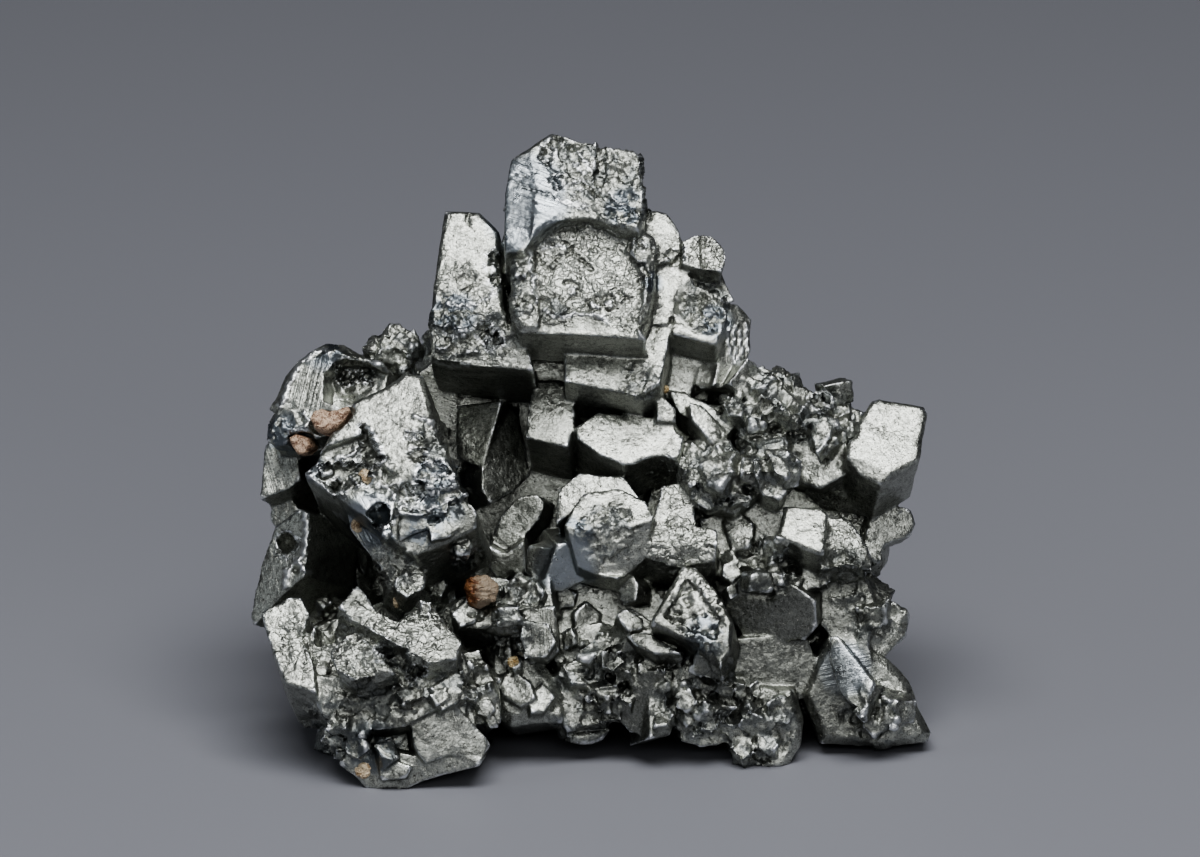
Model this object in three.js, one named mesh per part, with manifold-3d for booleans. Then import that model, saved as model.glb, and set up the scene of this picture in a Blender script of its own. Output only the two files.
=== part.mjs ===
// Acanthite pseudomorph after argentite: a standing cluster of intergrown, cube-like metallic crystals,
// with three small brown grains of another mineral lodged in it.
// Units are millimetres. The finished part has +Z up, its display side towards -Y, and its origin at the
// middle of its base. Crystals grown together are one solid; each brown grain is a solid of its own.
import * as THREE from "three";
import { mergeVertices } from "three/addons/utils/BufferGeometryUtils.js";
import Module from "manifold-3d";

const wasm = await Module();
wasm.setup();

// The crystals are drawn as seen from the display side, 18 degrees above the horizon: x to the right,
// z up the line of sight's own upright, y away from the viewer. STAND_TILT then stands the cluster up.
const STAND_TILT = 18;
const FLOOR = -31; // height of the resting plane below the middle of the display side
const CUT_SIZE = 200; // a block larger than the whole cluster
const SOCKET_GAP = 0.35; // clearance round each brown grain
const CLEAR_AWAY = 20; // how far in front of a facet everything is cut away
const HOLLOW_OPENING = 2; // how far a hollow's cut starts in front of the face
const PIT_REACH = 1.6; // depth of a pit for its width
const CORNER_KNOCK = 0.35; // how far the crust cubes' corners are knocked about, as a share of their size
const SOCKET_WIDENING = 2.6; // how much wider a lump's socket is, for each millimetre of clearance
const SHRINK_STEP = 0.94; // the rear cubes shrink by this much at a time until the display side hides them
const MERGE_DISTANCE = 1e-4;

const radians = THREE.MathUtils.degToRad;

// Repeatable random numbers from 0 to 1, so that every build is the same.
function randomSource(seed) {
  let state = seed * 2654435761;
  return () => {
    state = (state + 0x6d2b79f5) | 0;
    let mixed = Math.imul(state ^ (state >>> 15), 1 | state);
    mixed = (mixed + Math.imul(mixed ^ (mixed >>> 7), 61 | mixed)) ^ mixed;
    return ((mixed ^ (mixed >>> 14)) >>> 0) / 4294967296;
  };
}

const between = (random, low, high) => low + (high - low) * random();
const either = (random) => between(random, -1, 1);

// Three random angles for a piece that lies any way round.
const anyTurn = (random) => new THREE.Euler(3 * random(), 3 * random(), 3 * random());

// A closed three.js geometry as a solid that can be joined and cut.
function solidOf(geometry) {
  const bare = new THREE.BufferGeometry();
  bare.setAttribute("position", geometry.getAttribute("position").clone());
  if (geometry.index) bare.setIndex(geometry.index.clone());
  const merged = mergeVertices(bare, MERGE_DISTANCE);
  return new wasm.Manifold(
    new wasm.Mesh({
      numProp: 3,
      vertProperties: new Float32Array(merged.attributes.position.array),
      triVerts: new Uint32Array(merged.index.array),
    }),
  );
}

function geometryOf(solid) {
  const mesh = solid.getMesh();
  const points = new Float32Array(mesh.numVert * 3);
  for (let i = 0; i < mesh.numVert; i++)
    points.set(mesh.vertProperties.subarray(i * mesh.numProp, i * mesh.numProp + 3), i * 3);
  return new THREE.BufferGeometry()
    .setAttribute("position", new THREE.BufferAttribute(points, 3))
    .setIndex(new THREE.BufferAttribute(new Uint32Array(mesh.triVerts), 1));
}

// The plane of a crystal face: how far away its middle is, and how far it leans up and to the side.
function facePlane(outline, { depth, up, side }) {
  const middle = outline
    .reduce((sum, [x, z]) => sum.add(new THREE.Vector3(x, 0, z)), new THREE.Vector3())
    .divideScalar(outline.length);
  middle.y = depth;
  const normal = new THREE.Vector3(
    Math.sin(radians(side)) * Math.cos(radians(up)),
    -Math.cos(radians(side)) * Math.cos(radians(up)),
    Math.sin(radians(up)),
  );
  const right = new THREE.Vector3(0, 0, 1).cross(normal).normalize();
  const rise = normal.clone().cross(right);
  return { middle, normal, right, rise };
}

// The point of a face's plane that the viewer sees at (x, z).
function pointOn({ middle, normal }, x, z) {
  const along = (x - middle.x) * normal.x + (z - middle.z) * normal.z;
  return new THREE.Vector3(x, middle.y - along / normal.y, z);
}

// A prism whose front face shows the given outline to the viewer and whose walls run straight back from it.
// thick is the length of the walls, edge is the width of the chamfers, raise moves the front face out along
// its normal, and grow widens the prism all round.
function prism(outline, plane, thick, edge, raise = 0, grow = 0) {
  const { middle, normal, right, rise } = plane;
  const shape = new THREE.Shape(
    outline.map(([x, z]) => {
      const onFace = pointOn(plane, x, z).sub(middle);
      return new THREE.Vector2(onFace.dot(right), onFace.dot(rise));
    }),
  );
  const geometry = new THREE.ExtrudeGeometry(shape, {
    depth: thick - 2 * edge,
    bevelEnabled: edge > 0,
    bevelThickness: edge,
    bevelSize: edge,
    bevelOffset: grow - edge,
    bevelSegments: 1,
  });
  geometry.translate(0, 0, edge - thick + raise);
  const place = new THREE.Matrix4().makeBasis(right, rise, normal).setPosition(middle);
  return solidOf(geometry.applyMatrix4(place));
}

// A crystal with its sunken hollows, which share its front plane, its facets, each cut down to a plane of
// its own that leaves the front at the hinge point, and its pits.
function crystal({ outline, thick, edge = 0, hollows = [], facets = [], pits = [], ...face }) {
  const plane = facePlane(outline, face);
  let solid = prism(outline, plane, thick, edge);
  for (const { outline: hollow, deep } of hollows)
    solid = solid.subtract(prism(hollow, plane, deep + HOLLOW_OPENING, 0, HOLLOW_OPENING));
  for (const { outline: facet, hinge, ...tilt } of facets) {
    const floor = { ...facePlane(facet, { depth: 0, ...tilt }), middle: pointOn(plane, ...hinge) };
    solid = solid.subtract(prism(facet, floor, CLEAR_AWAY, 0, CLEAR_AWAY));
  }
  for (const [i, { at, wide }] of pits.entries()) {
    const centre = pointOn(plane, ...at).toArray();
    solid = solid.subtract(lump({ at: centre, size: [wide, wide * PIT_REACH, wide], seed: 100 * i + thick }));
  }
  return solid;
}

// An angular lump: an icosahedron with its corners moved in and out, stretched to size.
function lump({ at, size, seed, detail = 0, rough = 0.16 }) {
  const random = randomSource(seed);
  const geometry = mergeVertices(
    new THREE.BufferGeometry().setAttribute(
      "position",
      new THREE.IcosahedronGeometry(0.5, detail).getAttribute("position"),
    ),
    MERGE_DISTANCE,
  );
  const position = geometry.getAttribute("position");
  const corner = new THREE.Vector3();
  for (let i = 0; i < position.count; i++) {
    corner.fromBufferAttribute(position, i).multiplyScalar(1 + rough * either(random));
    position.setXYZ(i, corner.x, corner.y, corner.z);
  }
  const place = new THREE.Matrix4()
    .makeRotationFromEuler(anyTurn(random))
    .premultiply(new THREE.Matrix4().makeScale(...size))
    .setPosition(...at);
  return solidOf(geometry.applyMatrix4(place));
}

// A small cube with its corners knocked about.
function grainCube({ at, size, seed }) {
  const random = randomSource(seed);
  const geometry = new THREE.BoxGeometry(1, 1, 1);
  geometry.deleteAttribute("normal");
  geometry.deleteAttribute("uv");
  const cube = mergeVertices(geometry, MERGE_DISTANCE);
  const position = cube.getAttribute("position");
  for (let i = 0; i < position.count; i++) {
    const [x, y, z] = [position.getX(i), position.getY(i), position.getZ(i)].map(
      (value) => value * (1 + CORNER_KNOCK * either(random)),
    );
    position.setXYZ(i, x, y, z);
  }
  const place = new THREE.Matrix4()
    .makeRotationFromEuler(anyTurn(random))
    .scale(new THREE.Vector3(1, between(random, 0.8, 1.2), between(random, 0.7, 1.3)).multiplyScalar(size))
    .setPosition(...at);
  return solidOf(cube.applyMatrix4(place));
}

// A crust of small cubes scattered round a point.
function crust({ at, spread, count, size, seed }) {
  const random = randomSource(seed);
  return Array.from({ length: count }, (_, i) =>
    grainCube({
      at: at.map((middle, axis) => middle + spread[axis] * either(random)),
      size: size * between(random, 0.7, 1.3),
      seed: seed * 31 + i,
    }),
  );
}

// The tall stack of cubes at the top.
const TOP_CRYSTALS = [
  {
    name: "crown cube", depth: -6.2, up: 27, side: -2, thick: 11, edge: 0.4,
    outline: [[-4.9, 29.7], [4.0, 27.7], [4.3, 23.8], [4.2, 21.0], [3.9, 19.7], [1.2, 20.4], [-1.8, 21.5],
      [-3.8, 21.1], [-5.5, 20.2], [-6.6, 19.2], [-7.6, 17.9], [-9.6, 18.0], [-9.5, 23.8], [-8.9, 27.0]],
    hollows: [
      { deep: 0.5, outline: [[-4.4, 30.5], [-4.0, 27.0], [-2.8, 24.9], [-1.0, 23.6], [0.8, 22.3], [5.0, 21.4],
        [5.0, 29]] },
      { deep: 1.3, outline: [[-0.4, 29.4], [0.5, 29.4], [0.6, 26.0], [0.1, 24.2], [-0.5, 24.4]] },
    ],
    facets: [{ hinge: [-6.0, 24.0], up: 24, side: -14, outline: [[-10.5, 30.0], [-7.4, 29.2], [-6.4, 24.0],
      [-7.0, 17.0], [-10.5, 17.0]] }],
  },
  {
    name: "second cube", depth: -7.4, up: 20, side: -2, thick: 9, edge: 0.6,
    outline: [[-8.9, 18.8], [0, 20.6], [4.0, 20.2], [5.5, 19.2], [5.4, 14.5], [5.0, 12.3], [4.0, 10.4],
      [4.6, 9.0], [-2.0, 9.5], [-7.9, 9.7], [-8.8, 11.2]],
    hollows: [{ deep: 0.55, outline: [[-6.6, 18.6], [-3.8, 21.5], [0, 22.0], [3.4, 21.0], [2.6, 17.8],
      [3.4, 16.8], [4.3, 15.0], [4.2, 12.7], [3.6, 10.8], [4.4, 7.0], [-6.8, 7.4], [-6.0, 11.2],
      [-6.2, 13.0], [-7.0, 14.6], [-6.4, 16.4]] }],
  },
  {
    name: "left tall block", depth: -3, up: 20, side: -4, thick: 11, edge: 0.4,
    outline: [[-15.5, 21.9], [-12.1, 21.8], [-10.1, 19.8], [-10.0, 16.6], [-9.7, 12.8], [-9.0, 10.3],
      [-6.9, 7.6], [-6.7, 6.2], [-12.0, 6.6], [-17.0, 7.4], [-16.8, 12.8], [-16.3, 17.3]],
    facets: [{ hinge: [-13.0, 11.8], up: 8, side: -4, outline: [[-18.0, 12.6], [-14.0, 11.4], [-11.5, 12.2],
      [-9.0, 12.8], [-5.5, 8.0], [-5.5, 5.0], [-18.0, 5.0]] }],
    pits: [{ at: [-11.4, 9.6], wide: 1.8 }],
  },
  {
    name: "right shoulder, top", depth: 0, up: 30, side: 8, thick: 9,
    outline: [[4.0, 22.0], [6.5, 21.7], [8.0, 19.7], [8.4, 18.5], [7.6, 17.0], [6.0, 16.4], [4.0, 17.8]],
  },
  {
    name: "right shoulder, strip", depth: -1.5, up: 20, side: 5, thick: 10,
    outline: [[4.8, 18.6], [7.7, 18.0], [9.0, 15.3], [10.0, 13.8], [7.6, 12.4], [6.8, 10.4], [4.8, 10.4]],
  },
  {
    name: "right shoulder knob", depth: -1, up: 22, side: 8, thick: 5,
    outline: [[8.2, 18.8], [9.6, 19.4], [11.0, 19.5], [12.6, 18.0], [12.7, 17.1], [12.2, 15.7], [10.0, 15.9],
      [8.2, 16.4]],
    hollows: [{ deep: 0.3, outline: [[10.1, 19.3], [10.5, 19.3], [10.6, 16.0], [10.1, 16.0]] }],
  },
  {
    name: "right shoulder neck", depth: 1, up: 15, side: 20, thick: 6,
    outline: [[8.6, 15.8], [12.0, 15.8], [13.5, 12.8], [12.4, 12.2], [10.0, 13.6]],
  },
  {
    name: "right rough cube", depth: -2.5, up: 22, side: 0, thick: 10,
    outline: [[7.6, 12.8], [10.0, 14.4], [12.4, 12.8], [12.7, 11.0], [11.6, 8.3], [10.0, 8.7], [7.2, 9.4]],
  },
  {
    name: "right ribbed block", depth: 2, up: 10, side: 30, thick: 9,
    outline: [[12.4, 12.8], [13.8, 12.4], [15.2, 10.9], [15.1, 9.4], [15.1, 7.6], [14.4, 6.2], [13.0, 4.7],
      [11.3, 4.2], [12.0, 7.8], [12.6, 10.8]],
  },
  {
    name: "right lower block", depth: 1, up: 10, side: -18, thick: 8,
    outline: [[9.6, 7.6], [11.2, 8.8], [12.4, 9.7], [12.2, 7.6], [11.4, 5.7], [12.2, 4.0], [10.0, 4.0],
      [9.0, 4.8]],
  },
];

// The stair of small cubes down the middle, and the dark recess on its left.
const MIDDLE_CRYSTALS = [
  {
    name: "first step", depth: -3.8, up: 25, side: -3, thick: 8,
    outline: [[-3.6, 8.0], [0, 8.3], [4.5, 8.8], [4.7, 11.3], [7.1, 11.1], [6.8, 8.2], [6.0, 4.6], [3.8, 3.2],
      [0, 4.0], [-3.6, 4.7]],
  },
  {
    name: "second step", depth: -3, up: 28, side: 0, thick: 7.5,
    outline: [[-2.4, 0.2], [-0.2, 1.6], [5.4, 1.1], [7.3, 0.7], [7.6, -0.3], [8.4, -0.8], [7.8, -3.1],
      [6.1, -2.7], [4.9, -2.8], [3.5, -3.5], [2.3, -3.6], [-0.2, -2.5], [-2.3, -1.0]],
  },
  {
    name: "side step", depth: -1, up: 25, side: -5, thick: 8,
    outline: [[-6.6, 4.8], [-4.0, 4.8], [-2.5, 3.8], [-2.6, 0.3], [-3.2, -1.9], [-7.5, -0.9], [-7.2, 1.8]],
  },
  {
    name: "step end", depth: -2.5, up: 15, side: 10, thick: 4,
    outline: [[5.7, 2.6], [6.4, 3.1], [7.6, 2.0], [7.7, 0.6], [5.7, 0.7]],
  },
  {
    name: "third step", depth: -6, up: 30, side: -3, thick: 6,
    outline: [[-3.6, -9.5], [-2.3, -7.2], [-1.6, -6.4], [2.0, -5.9], [4.5, -7.2], [5.4, -8.7], [4.4, -11.6],
      [1.6, -13.4], [-2.4, -12.4]],
    facets: [{ hinge: [1.0, -9.6], up: -14, side: 2, outline: [[-4.6, -9.4], [-2.0, -9.8], [0.6, -9.0],
      [3.0, -10.0], [6.4, -8.6], [6.4, -14.6], [-4.6, -14.6]] }],
  },
  {
    name: "third step back", depth: -3, up: 20, side: -8, thick: 6,
    outline: [[-4.2, -6.0], [-2.0, -4.4], [2.5, -4.8], [4.0, -7.0], [-2.0, -8.0], [-4.5, -9.5]],
  },
  {
    name: "fourth step", depth: -5, up: 28, side: 0, thick: 6,
    facets: [{ hinge: [7.6, -11.4], up: -4, side: 0, outline: [[2.6, -11.0], [6.0, -11.6], [9.0, -11.2],
      [12.6, -11.8], [12.6, -15.0], [2.6, -15.0]] }],
    outline: [[6.2, -5.7], [9.0, -5.4], [9.7, -9.6], [11.6, -10.1], [11.8, -10.6], [11.5, -12.8],
      [7.6, -13.3], [4.2, -12.3], [3.8, -11.5], [5.2, -9.4]],
  },
  {
    name: "ridged cube, left face", depth: -3, up: -8, side: -28, thick: 7,
    outline: [[-7.3, -11.7], [-4.0, -12.0], [-5.6, -15.7], [-7.5, -14.6]],
  },
  {
    name: "ridged cube, right face", depth: -4, up: -12, side: 12, thick: 7,
    outline: [[-4.3, -11.5], [0, -11.2], [0.7, -13.0], [-0.4, -14.7], [-3.9, -16.4], [-5.8, -15.8]],
  },
  {
    name: "recess cube, left face", depth: 4, up: 12, side: -25, thick: 9,
    outline: [[-14.4, 2.3], [-9.8, 2.8], [-11.8, -4.0], [-14.4, -3.0]],
  },
  {
    name: "recess cube, right face", depth: 4, up: 8, side: 28, thick: 9,
    outline: [[-9.8, 2.8], [-8.2, 1.5], [-7.6, -1.2], [-6.9, -4.7], [-8.5, -6.2], [-10.9, -7.6],
      [-11.8, -6.2], [-11.8, -4.0], [-11.0, -1.0]],
  },
  {
    name: "recess slanting block", depth: 3, up: 8, side: -10, thick: 9,
    outline: [[-10.8, -10.7], [-9.6, -8.2], [-8.2, -6.9], [-6.4, -6.6], [-5.4, -7.3], [-6.0, -9.0],
      [-7.8, -11.1], [-9.6, -12.7], [-10.9, -12.1]],
  },
  {
    name: "recess low block", depth: 1.5, up: -10, side: -5, thick: 7,
    outline: [[-11.2, -11.7], [-9.5, -12.5], [-7.6, -11.2], [-7.4, -14.6], [-9.5, -15.6], [-11.2, -14.2]],
  },
  {
    name: "recess small cube", depth: -4, up: 35, side: 0, thick: 5,
    outline: [[-15.6, -13.7], [-14.8, -11.7], [-13.2, -11.3], [-12.5, -12.9], [-13.0, -13.9], [-15.0, -14.3]],
  },
];

// The big cube at the left and its neighbours.
const LEFT_CRYSTALS = [
  {
    name: "big left cube", depth: -11, up: 25, side: -10, thick: 12.5, edge: 0.5,
    outline: [[-29.7, -3.9], [-28.5, -3.0], [-25.3, 2.4], [-19.3, 5.6], [-17.7, 5.5], [-16.3, 0.1],
      [-14.1, -5.4], [-12.6, -7.3], [-12.8, -8.6], [-16.0, -10.2], [-19.0, -11.3], [-24.8, -7.6]],
    hollows: [{ deep: 1.2, outline: [[-31.5, -4.4], [-28.6, -2.8], [-27.3, -1.7], [-23.8, -0.6], [-23.5, 0.2],
      [-22.9, -1.4], [-21.7, -2.9], [-22.0, -3.7], [-24.0, -4.6], [-25.5, -5.4], [-27.4, -8.0]] }],
    facets: [
      { hinge: [-17.0, -4.0], up: 2, side: -2, outline: [[-19.6, -4.6], [-16.6, -3.6], [-15.0, -1.8],
        [-10.0, -6.0], [-11.0, -10.0], [-19.0, -13.0], [-21.0, -10.4]] },
      { hinge: [-16.6, 1.4], up: 20, side: 22, outline: [[-17.2, 7.0], [-17.6, 3.6], [-16.0, -1.0],
        [-14.6, -4.4], [-10.0, -4.0], [-12.0, 7.0]] },
    ],
    pits: [{ at: [-26.4, -5.7], wide: 2.0 }, { at: [-22.0, -8.6], wide: 2.8 }],
  },
  {
    name: "big cube nose", depth: -9, up: 20, side: 8, thick: 6,
    outline: [[-21.0, -13.4], [-18.8, -12.4], [-17.1, -14.5], [-17.9, -16.2], [-19.2, -17.1], [-20.8, -15.7]],
  },
  {
    name: "big cube's slanting ridge", depth: -8.4, up: -4, side: -14, thick: 6,
    outline: [[-25.2, -8.4], [-22.0, -10.4], [-19.2, -12.0], [-18.6, -13.4], [-20.6, -15.6], [-21.8, -14.0],
      [-23.8, -11.6], [-24.9, -10.2]],
  },
  {
    name: "upper left block", depth: -4, up: 22, side: -20, thick: 10, edge: 1,
    outline: [[-30.6, 7.0], [-27.8, 9.1], [-26.0, 8.8], [-24.0, 7.6], [-22.1, 6.8], [-22.4, 4.3],
      [-25.5, 1.8], [-27.8, -0.4], [-30.2, -1.2], [-33.4, -0.9], [-33.5, 0.4], [-32.9, 2.8],
      [-31.9, 5.4]],
    hollows: [{ deep: 2.8, outline: [[-27.6, 5.4], [-26.2, 6.9], [-24.0, 7.0], [-21.6, 6.4], [-21.8, 4.6],
      [-23.6, 3.4], [-26.0, 2.2], [-27.6, 2.8]] }],
    facets: [{ hinge: [-29.0, 6.0], up: 45, side: -25, outline: [[-33.6, 4.6], [-30.0, 6.4], [-26.0, 7.6],
      [-22.0, 6.8], [-22.0, 11.0], [-33.6, 11.0]] }],
  },
  {
    name: "shoulder block", depth: 3, up: 12, side: -10, thick: 9,
    outline: [[-23.9, 8.3], [-23.2, 8.9], [-22.0, 9.0], [-20.2, 7.8], [-19.6, 5.8], [-21.5, 4.6],
      [-22.6, 6.2]],
  },
  {
    name: "left wedge", depth: 0, up: 15, side: -20, thick: 8,
    outline: [[-33.6, -2.0], [-33.1, -1.0], [-30.2, -1.8], [-30.0, -5.1], [-31.0, -6.0], [-34.0, -7.1],
      [-33.8, -4.2]],
  },
  {
    name: "left slab", depth: -2, up: 10, side: -35, thick: 8.5,
    outline: [[-32.4, -9.8], [-30.0, -8.0], [-29.1, -8.4], [-29.0, -10.2], [-29.5, -14.7], [-31.7, -16.7],
      [-34.6, -19.7], [-35.0, -18.7], [-33.7, -12.8]],
    pits: [{ at: [-31.4, -11.4], wide: 2.2 }, { at: [-30.4, -14.0], wide: 1.2 }],
  },
  {
    name: "left chip", depth: 2, up: 5, side: -20, thick: 8,
    outline: [[-32.9, -7.4], [-31.1, -6.8], [-29.6, -8.7], [-32.0, -10.4], [-33.0, -9.2]],
  },
  {
    name: "left corner cube", depth: -8, up: 25, side: -8, thick: 10,
    outline: [[-33.9, -18.3], [-31.0, -16.8], [-29.8, -16.9], [-29.0, -18.7], [-29.6, -20.8],
      [-28.6, -23.2], [-28.2, -26.3], [-31.4, -25.2], [-32.6, -22.4]],
  },
];

// The heavy foot at the lower left.
const LEFT_FOOT = [
  {
    name: "left foot mass", depth: -8.5, up: 5, side: -5, thick: 15,
    outline: [[-30.0, -21.2], [-25.5, -17.4], [-20.0, -19.2], [-13.8, -22.2], [-13.0, -26.2],
      [-13.6, -30.2], [-17.0, -33.4], [-24.0, -33.4], [-27.0, -31.2], [-27.1, -29.5], [-29.5, -26.9],
      [-31.2, -25.2]],
    hollows: [{ deep: 6, outline: [[-28.4, -18.4], [-25.4, -17.2], [-24.6, -19.2], [-26.4, -21.2],
      [-28.4, -21.8]] }],
  },
  {
    name: "foot tongue", depth: -12, up: 35, side: 5, thick: 6,
    outline: [[-26.0, -17.6], [-24.2, -15.6], [-23.2, -16.4], [-22.2, -18.2], [-20.0, -19.0], [-18.4, -17.9],
      [-16.4, -17.7], [-14.9, -20.0], [-13.7, -21.3], [-14.2, -22.8], [-17.0, -23.3], [-21.3, -20.8],
      [-24.8, -18.9]],
  },
  {
    name: "foot knob", depth: -12.5, up: 28, side: -10, thick: 6,
    outline: [[-26.9, -22.2], [-25.9, -21.0], [-24.5, -20.3], [-22.2, -21.0], [-21.5, -22.7], [-20.1, -24.3],
      [-22.2, -24.7], [-23.2, -24.3], [-24.0, -25.0], [-25.6, -24.0]],
  },
  {
    name: "foot slope", depth: -11, up: 12, side: -12, thick: 8,
    outline: [[-28.6, -24.6], [-24.5, -24.4], [-20.0, -23.6], [-15.0, -23.6], [-15.4, -27.4],
      [-19.4, -29.6], [-25.6, -30.4], [-28.2, -27.6]],
  },
  {
    name: "foot smooth face", depth: -11.5, up: 0, side: 8, thick: 8,
    outline: [[-18.8, -29.5], [-14.0, -27.7], [-12.8, -29.1], [-10.8, -31.4], [-11.7, -32.8],
      [-14.9, -32.5], [-17.4, -33.4], [-18.5, -31.7]],
  },
  {
    name: "left foot toe", depth: -10.5, up: -8, side: -5, thick: 13,
    outline: [[-24.8, -31.4], [-22.2, -31.7], [-18.0, -32.7], [-11.6, -32.9], [-12.0, -33.6],
      [-17.6, -35.1], [-20.4, -36.6], [-22.5, -36.6], [-24.5, -34.6], [-25.9, -33.4]],
  },
];

// The crusted shoulder, the bright block and the small cubes at the right.
const RIGHT_CRYSTALS = [
  {
    name: "crust peak", depth: 1, up: 22, side: 8, thick: 9,
    outline: [[12.7, 2.3], [14.0, 5.0], [16.2, 6.3], [18.1, 5.1], [19.6, 3.0], [19.0, 0.8], [16.5, -0.2],
      [14.0, 0.8]],
  },
  {
    name: "crust hump", depth: 2, up: 15, side: 5, thick: 9,
    outline: [[19.4, 2.8], [22.0, 4.0], [24.4, 3.7], [25.2, 2.5], [24.5, 0.3], [22.0, -1.2], [20.0, -0.2]],
  },
  {
    name: "crust band", depth: -1, up: 25, side: -5, thick: 5,
    outline: [[6.8, 3.8], [8.5, 3.6], [11.0, 2.3], [13.5, 0.3], [12.5, -1.2], [10.0, 0.3], [7.8, 1.6]],
  },
  {
    name: "crust boulder", depth: -3, up: 15, side: 0, thick: 10, edge: 0.8,
    outline: [[8.2, -1.0], [10.5, -0.7], [13.8, -2.5], [16.0, -4.0], [16.3, -6.2], [13.5, -8.5],
      [11.5, -8.0], [9.7, -5.7], [8.4, -3.7]],
  },
  {
    name: "fan crystal, small", depth: -1.5, up: 15, side: -15, thick: 4,
    outline: [[12.0, 3.0], [13.9, 3.2], [14.0, 1.2], [12.2, 1.3]],
  },
  {
    name: "fan crystal, large", depth: -1.5, up: 20, side: -12, thick: 5,
    outline: [[13.9, 2.5], [16.4, 2.8], [16.5, -0.4], [14.2, -0.6], [13.6, 1.0]],
  },
  {
    name: "crust inner lump", depth: -3, up: 12, side: 5, thick: 8,
    outline: [[14.6, -1.2], [18.2, -1.0], [19.2, -3.7], [18.9, -6.0], [17.0, -7.2], [16.0, -5.2],
      [14.8, -4.2]],
  },
  {
    name: "grey saddle", depth: 0, up: 12, side: -10, thick: 9,
    outline: [[17.8, 0.8], [22.0, 1.0], [24.5, -0.4], [25.0, -4.4], [22.0, -6.0], [19.0, -5.2], [18.0, -2.2]],
  },
  {
    name: "saddle chip", depth: -1.5, up: 20, side: -20, thick: 4,
    outline: [[21.3, 0.0], [23.2, 0.2], [23.6, -1.2], [22.5, -2.7], [21.5, -2.0]],
  },
  {
    name: "right block", depth: -2, up: 28, side: 7, thick: 8.5, edge: 0.35,
    facets: [{ hinge: [27.0, -3.6], up: 4, side: -6, outline: [[23.6, -2.4], [26.6, -3.4], [29.6, -4.0],
      [30.0, -7.0], [23.6, -7.0]] }],
    outline: [[25.8, 0.7], [27.3, 2.9], [27.9, 3.1], [32.4, 2.3], [32.8, 1.7], [31.9, -3.1], [31.3, -3.5],
      [28.1, -5.3], [26.0, -4.3], [24.6, -2.8], [24.8, -1.0], [25.6, -0.6]],
  },
  {
    name: "right block underside", depth: 1.5, up: -32, side: -12, thick: 7,
    outline: [[20.3, -5.0], [24.6, -3.4], [28.1, -4.9], [27.5, -8.5], [26.4, -8.8], [22.4, -8.2],
      [20.5, -6.7]],
  },
  {
    name: "little cube", depth: -5, up: 30, side: 4, thick: 5, edge: 0.3,
    outline: [[18.5, -7.6], [22.2, -7.8], [22.9, -8.5], [22.4, -12.4], [21.8, -12.5], [17.7, -10.9]],
  },
  {
    name: "little cube's neighbour", depth: -3.5, up: 25, side: 10, thick: 7,
    outline: [[22.7, -8.7], [25.0, -9.1], [26.1, -10.8], [27.1, -12.6], [27.2, -14.2], [24.2, -13.9],
      [22.0, -14.1], [22.2, -12.4]],
  },
  {
    name: "right edge chips", depth: 3, up: 8, side: 15, thick: 7,
    outline: [[27.0, -9.0], [28.5, -8.7], [29.7, -7.8], [31.2, -8.1], [31.6, -9.6], [31.2, -10.9],
      [29.5, -11.3], [28.3, -11.9], [28.3, -13.2], [27.6, -13.6], [26.2, -12.2]],
  },
  {
    name: "under ledge", depth: -1.5, up: 5, side: 0, thick: 9,
    outline: [[10.0, -9.0], [16.0, -7.4], [18.4, -8.4], [18.0, -13.0], [20.6, -15.4], [14.0, -15.8],
      [10.5, -14.0]],
  },
];

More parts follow.
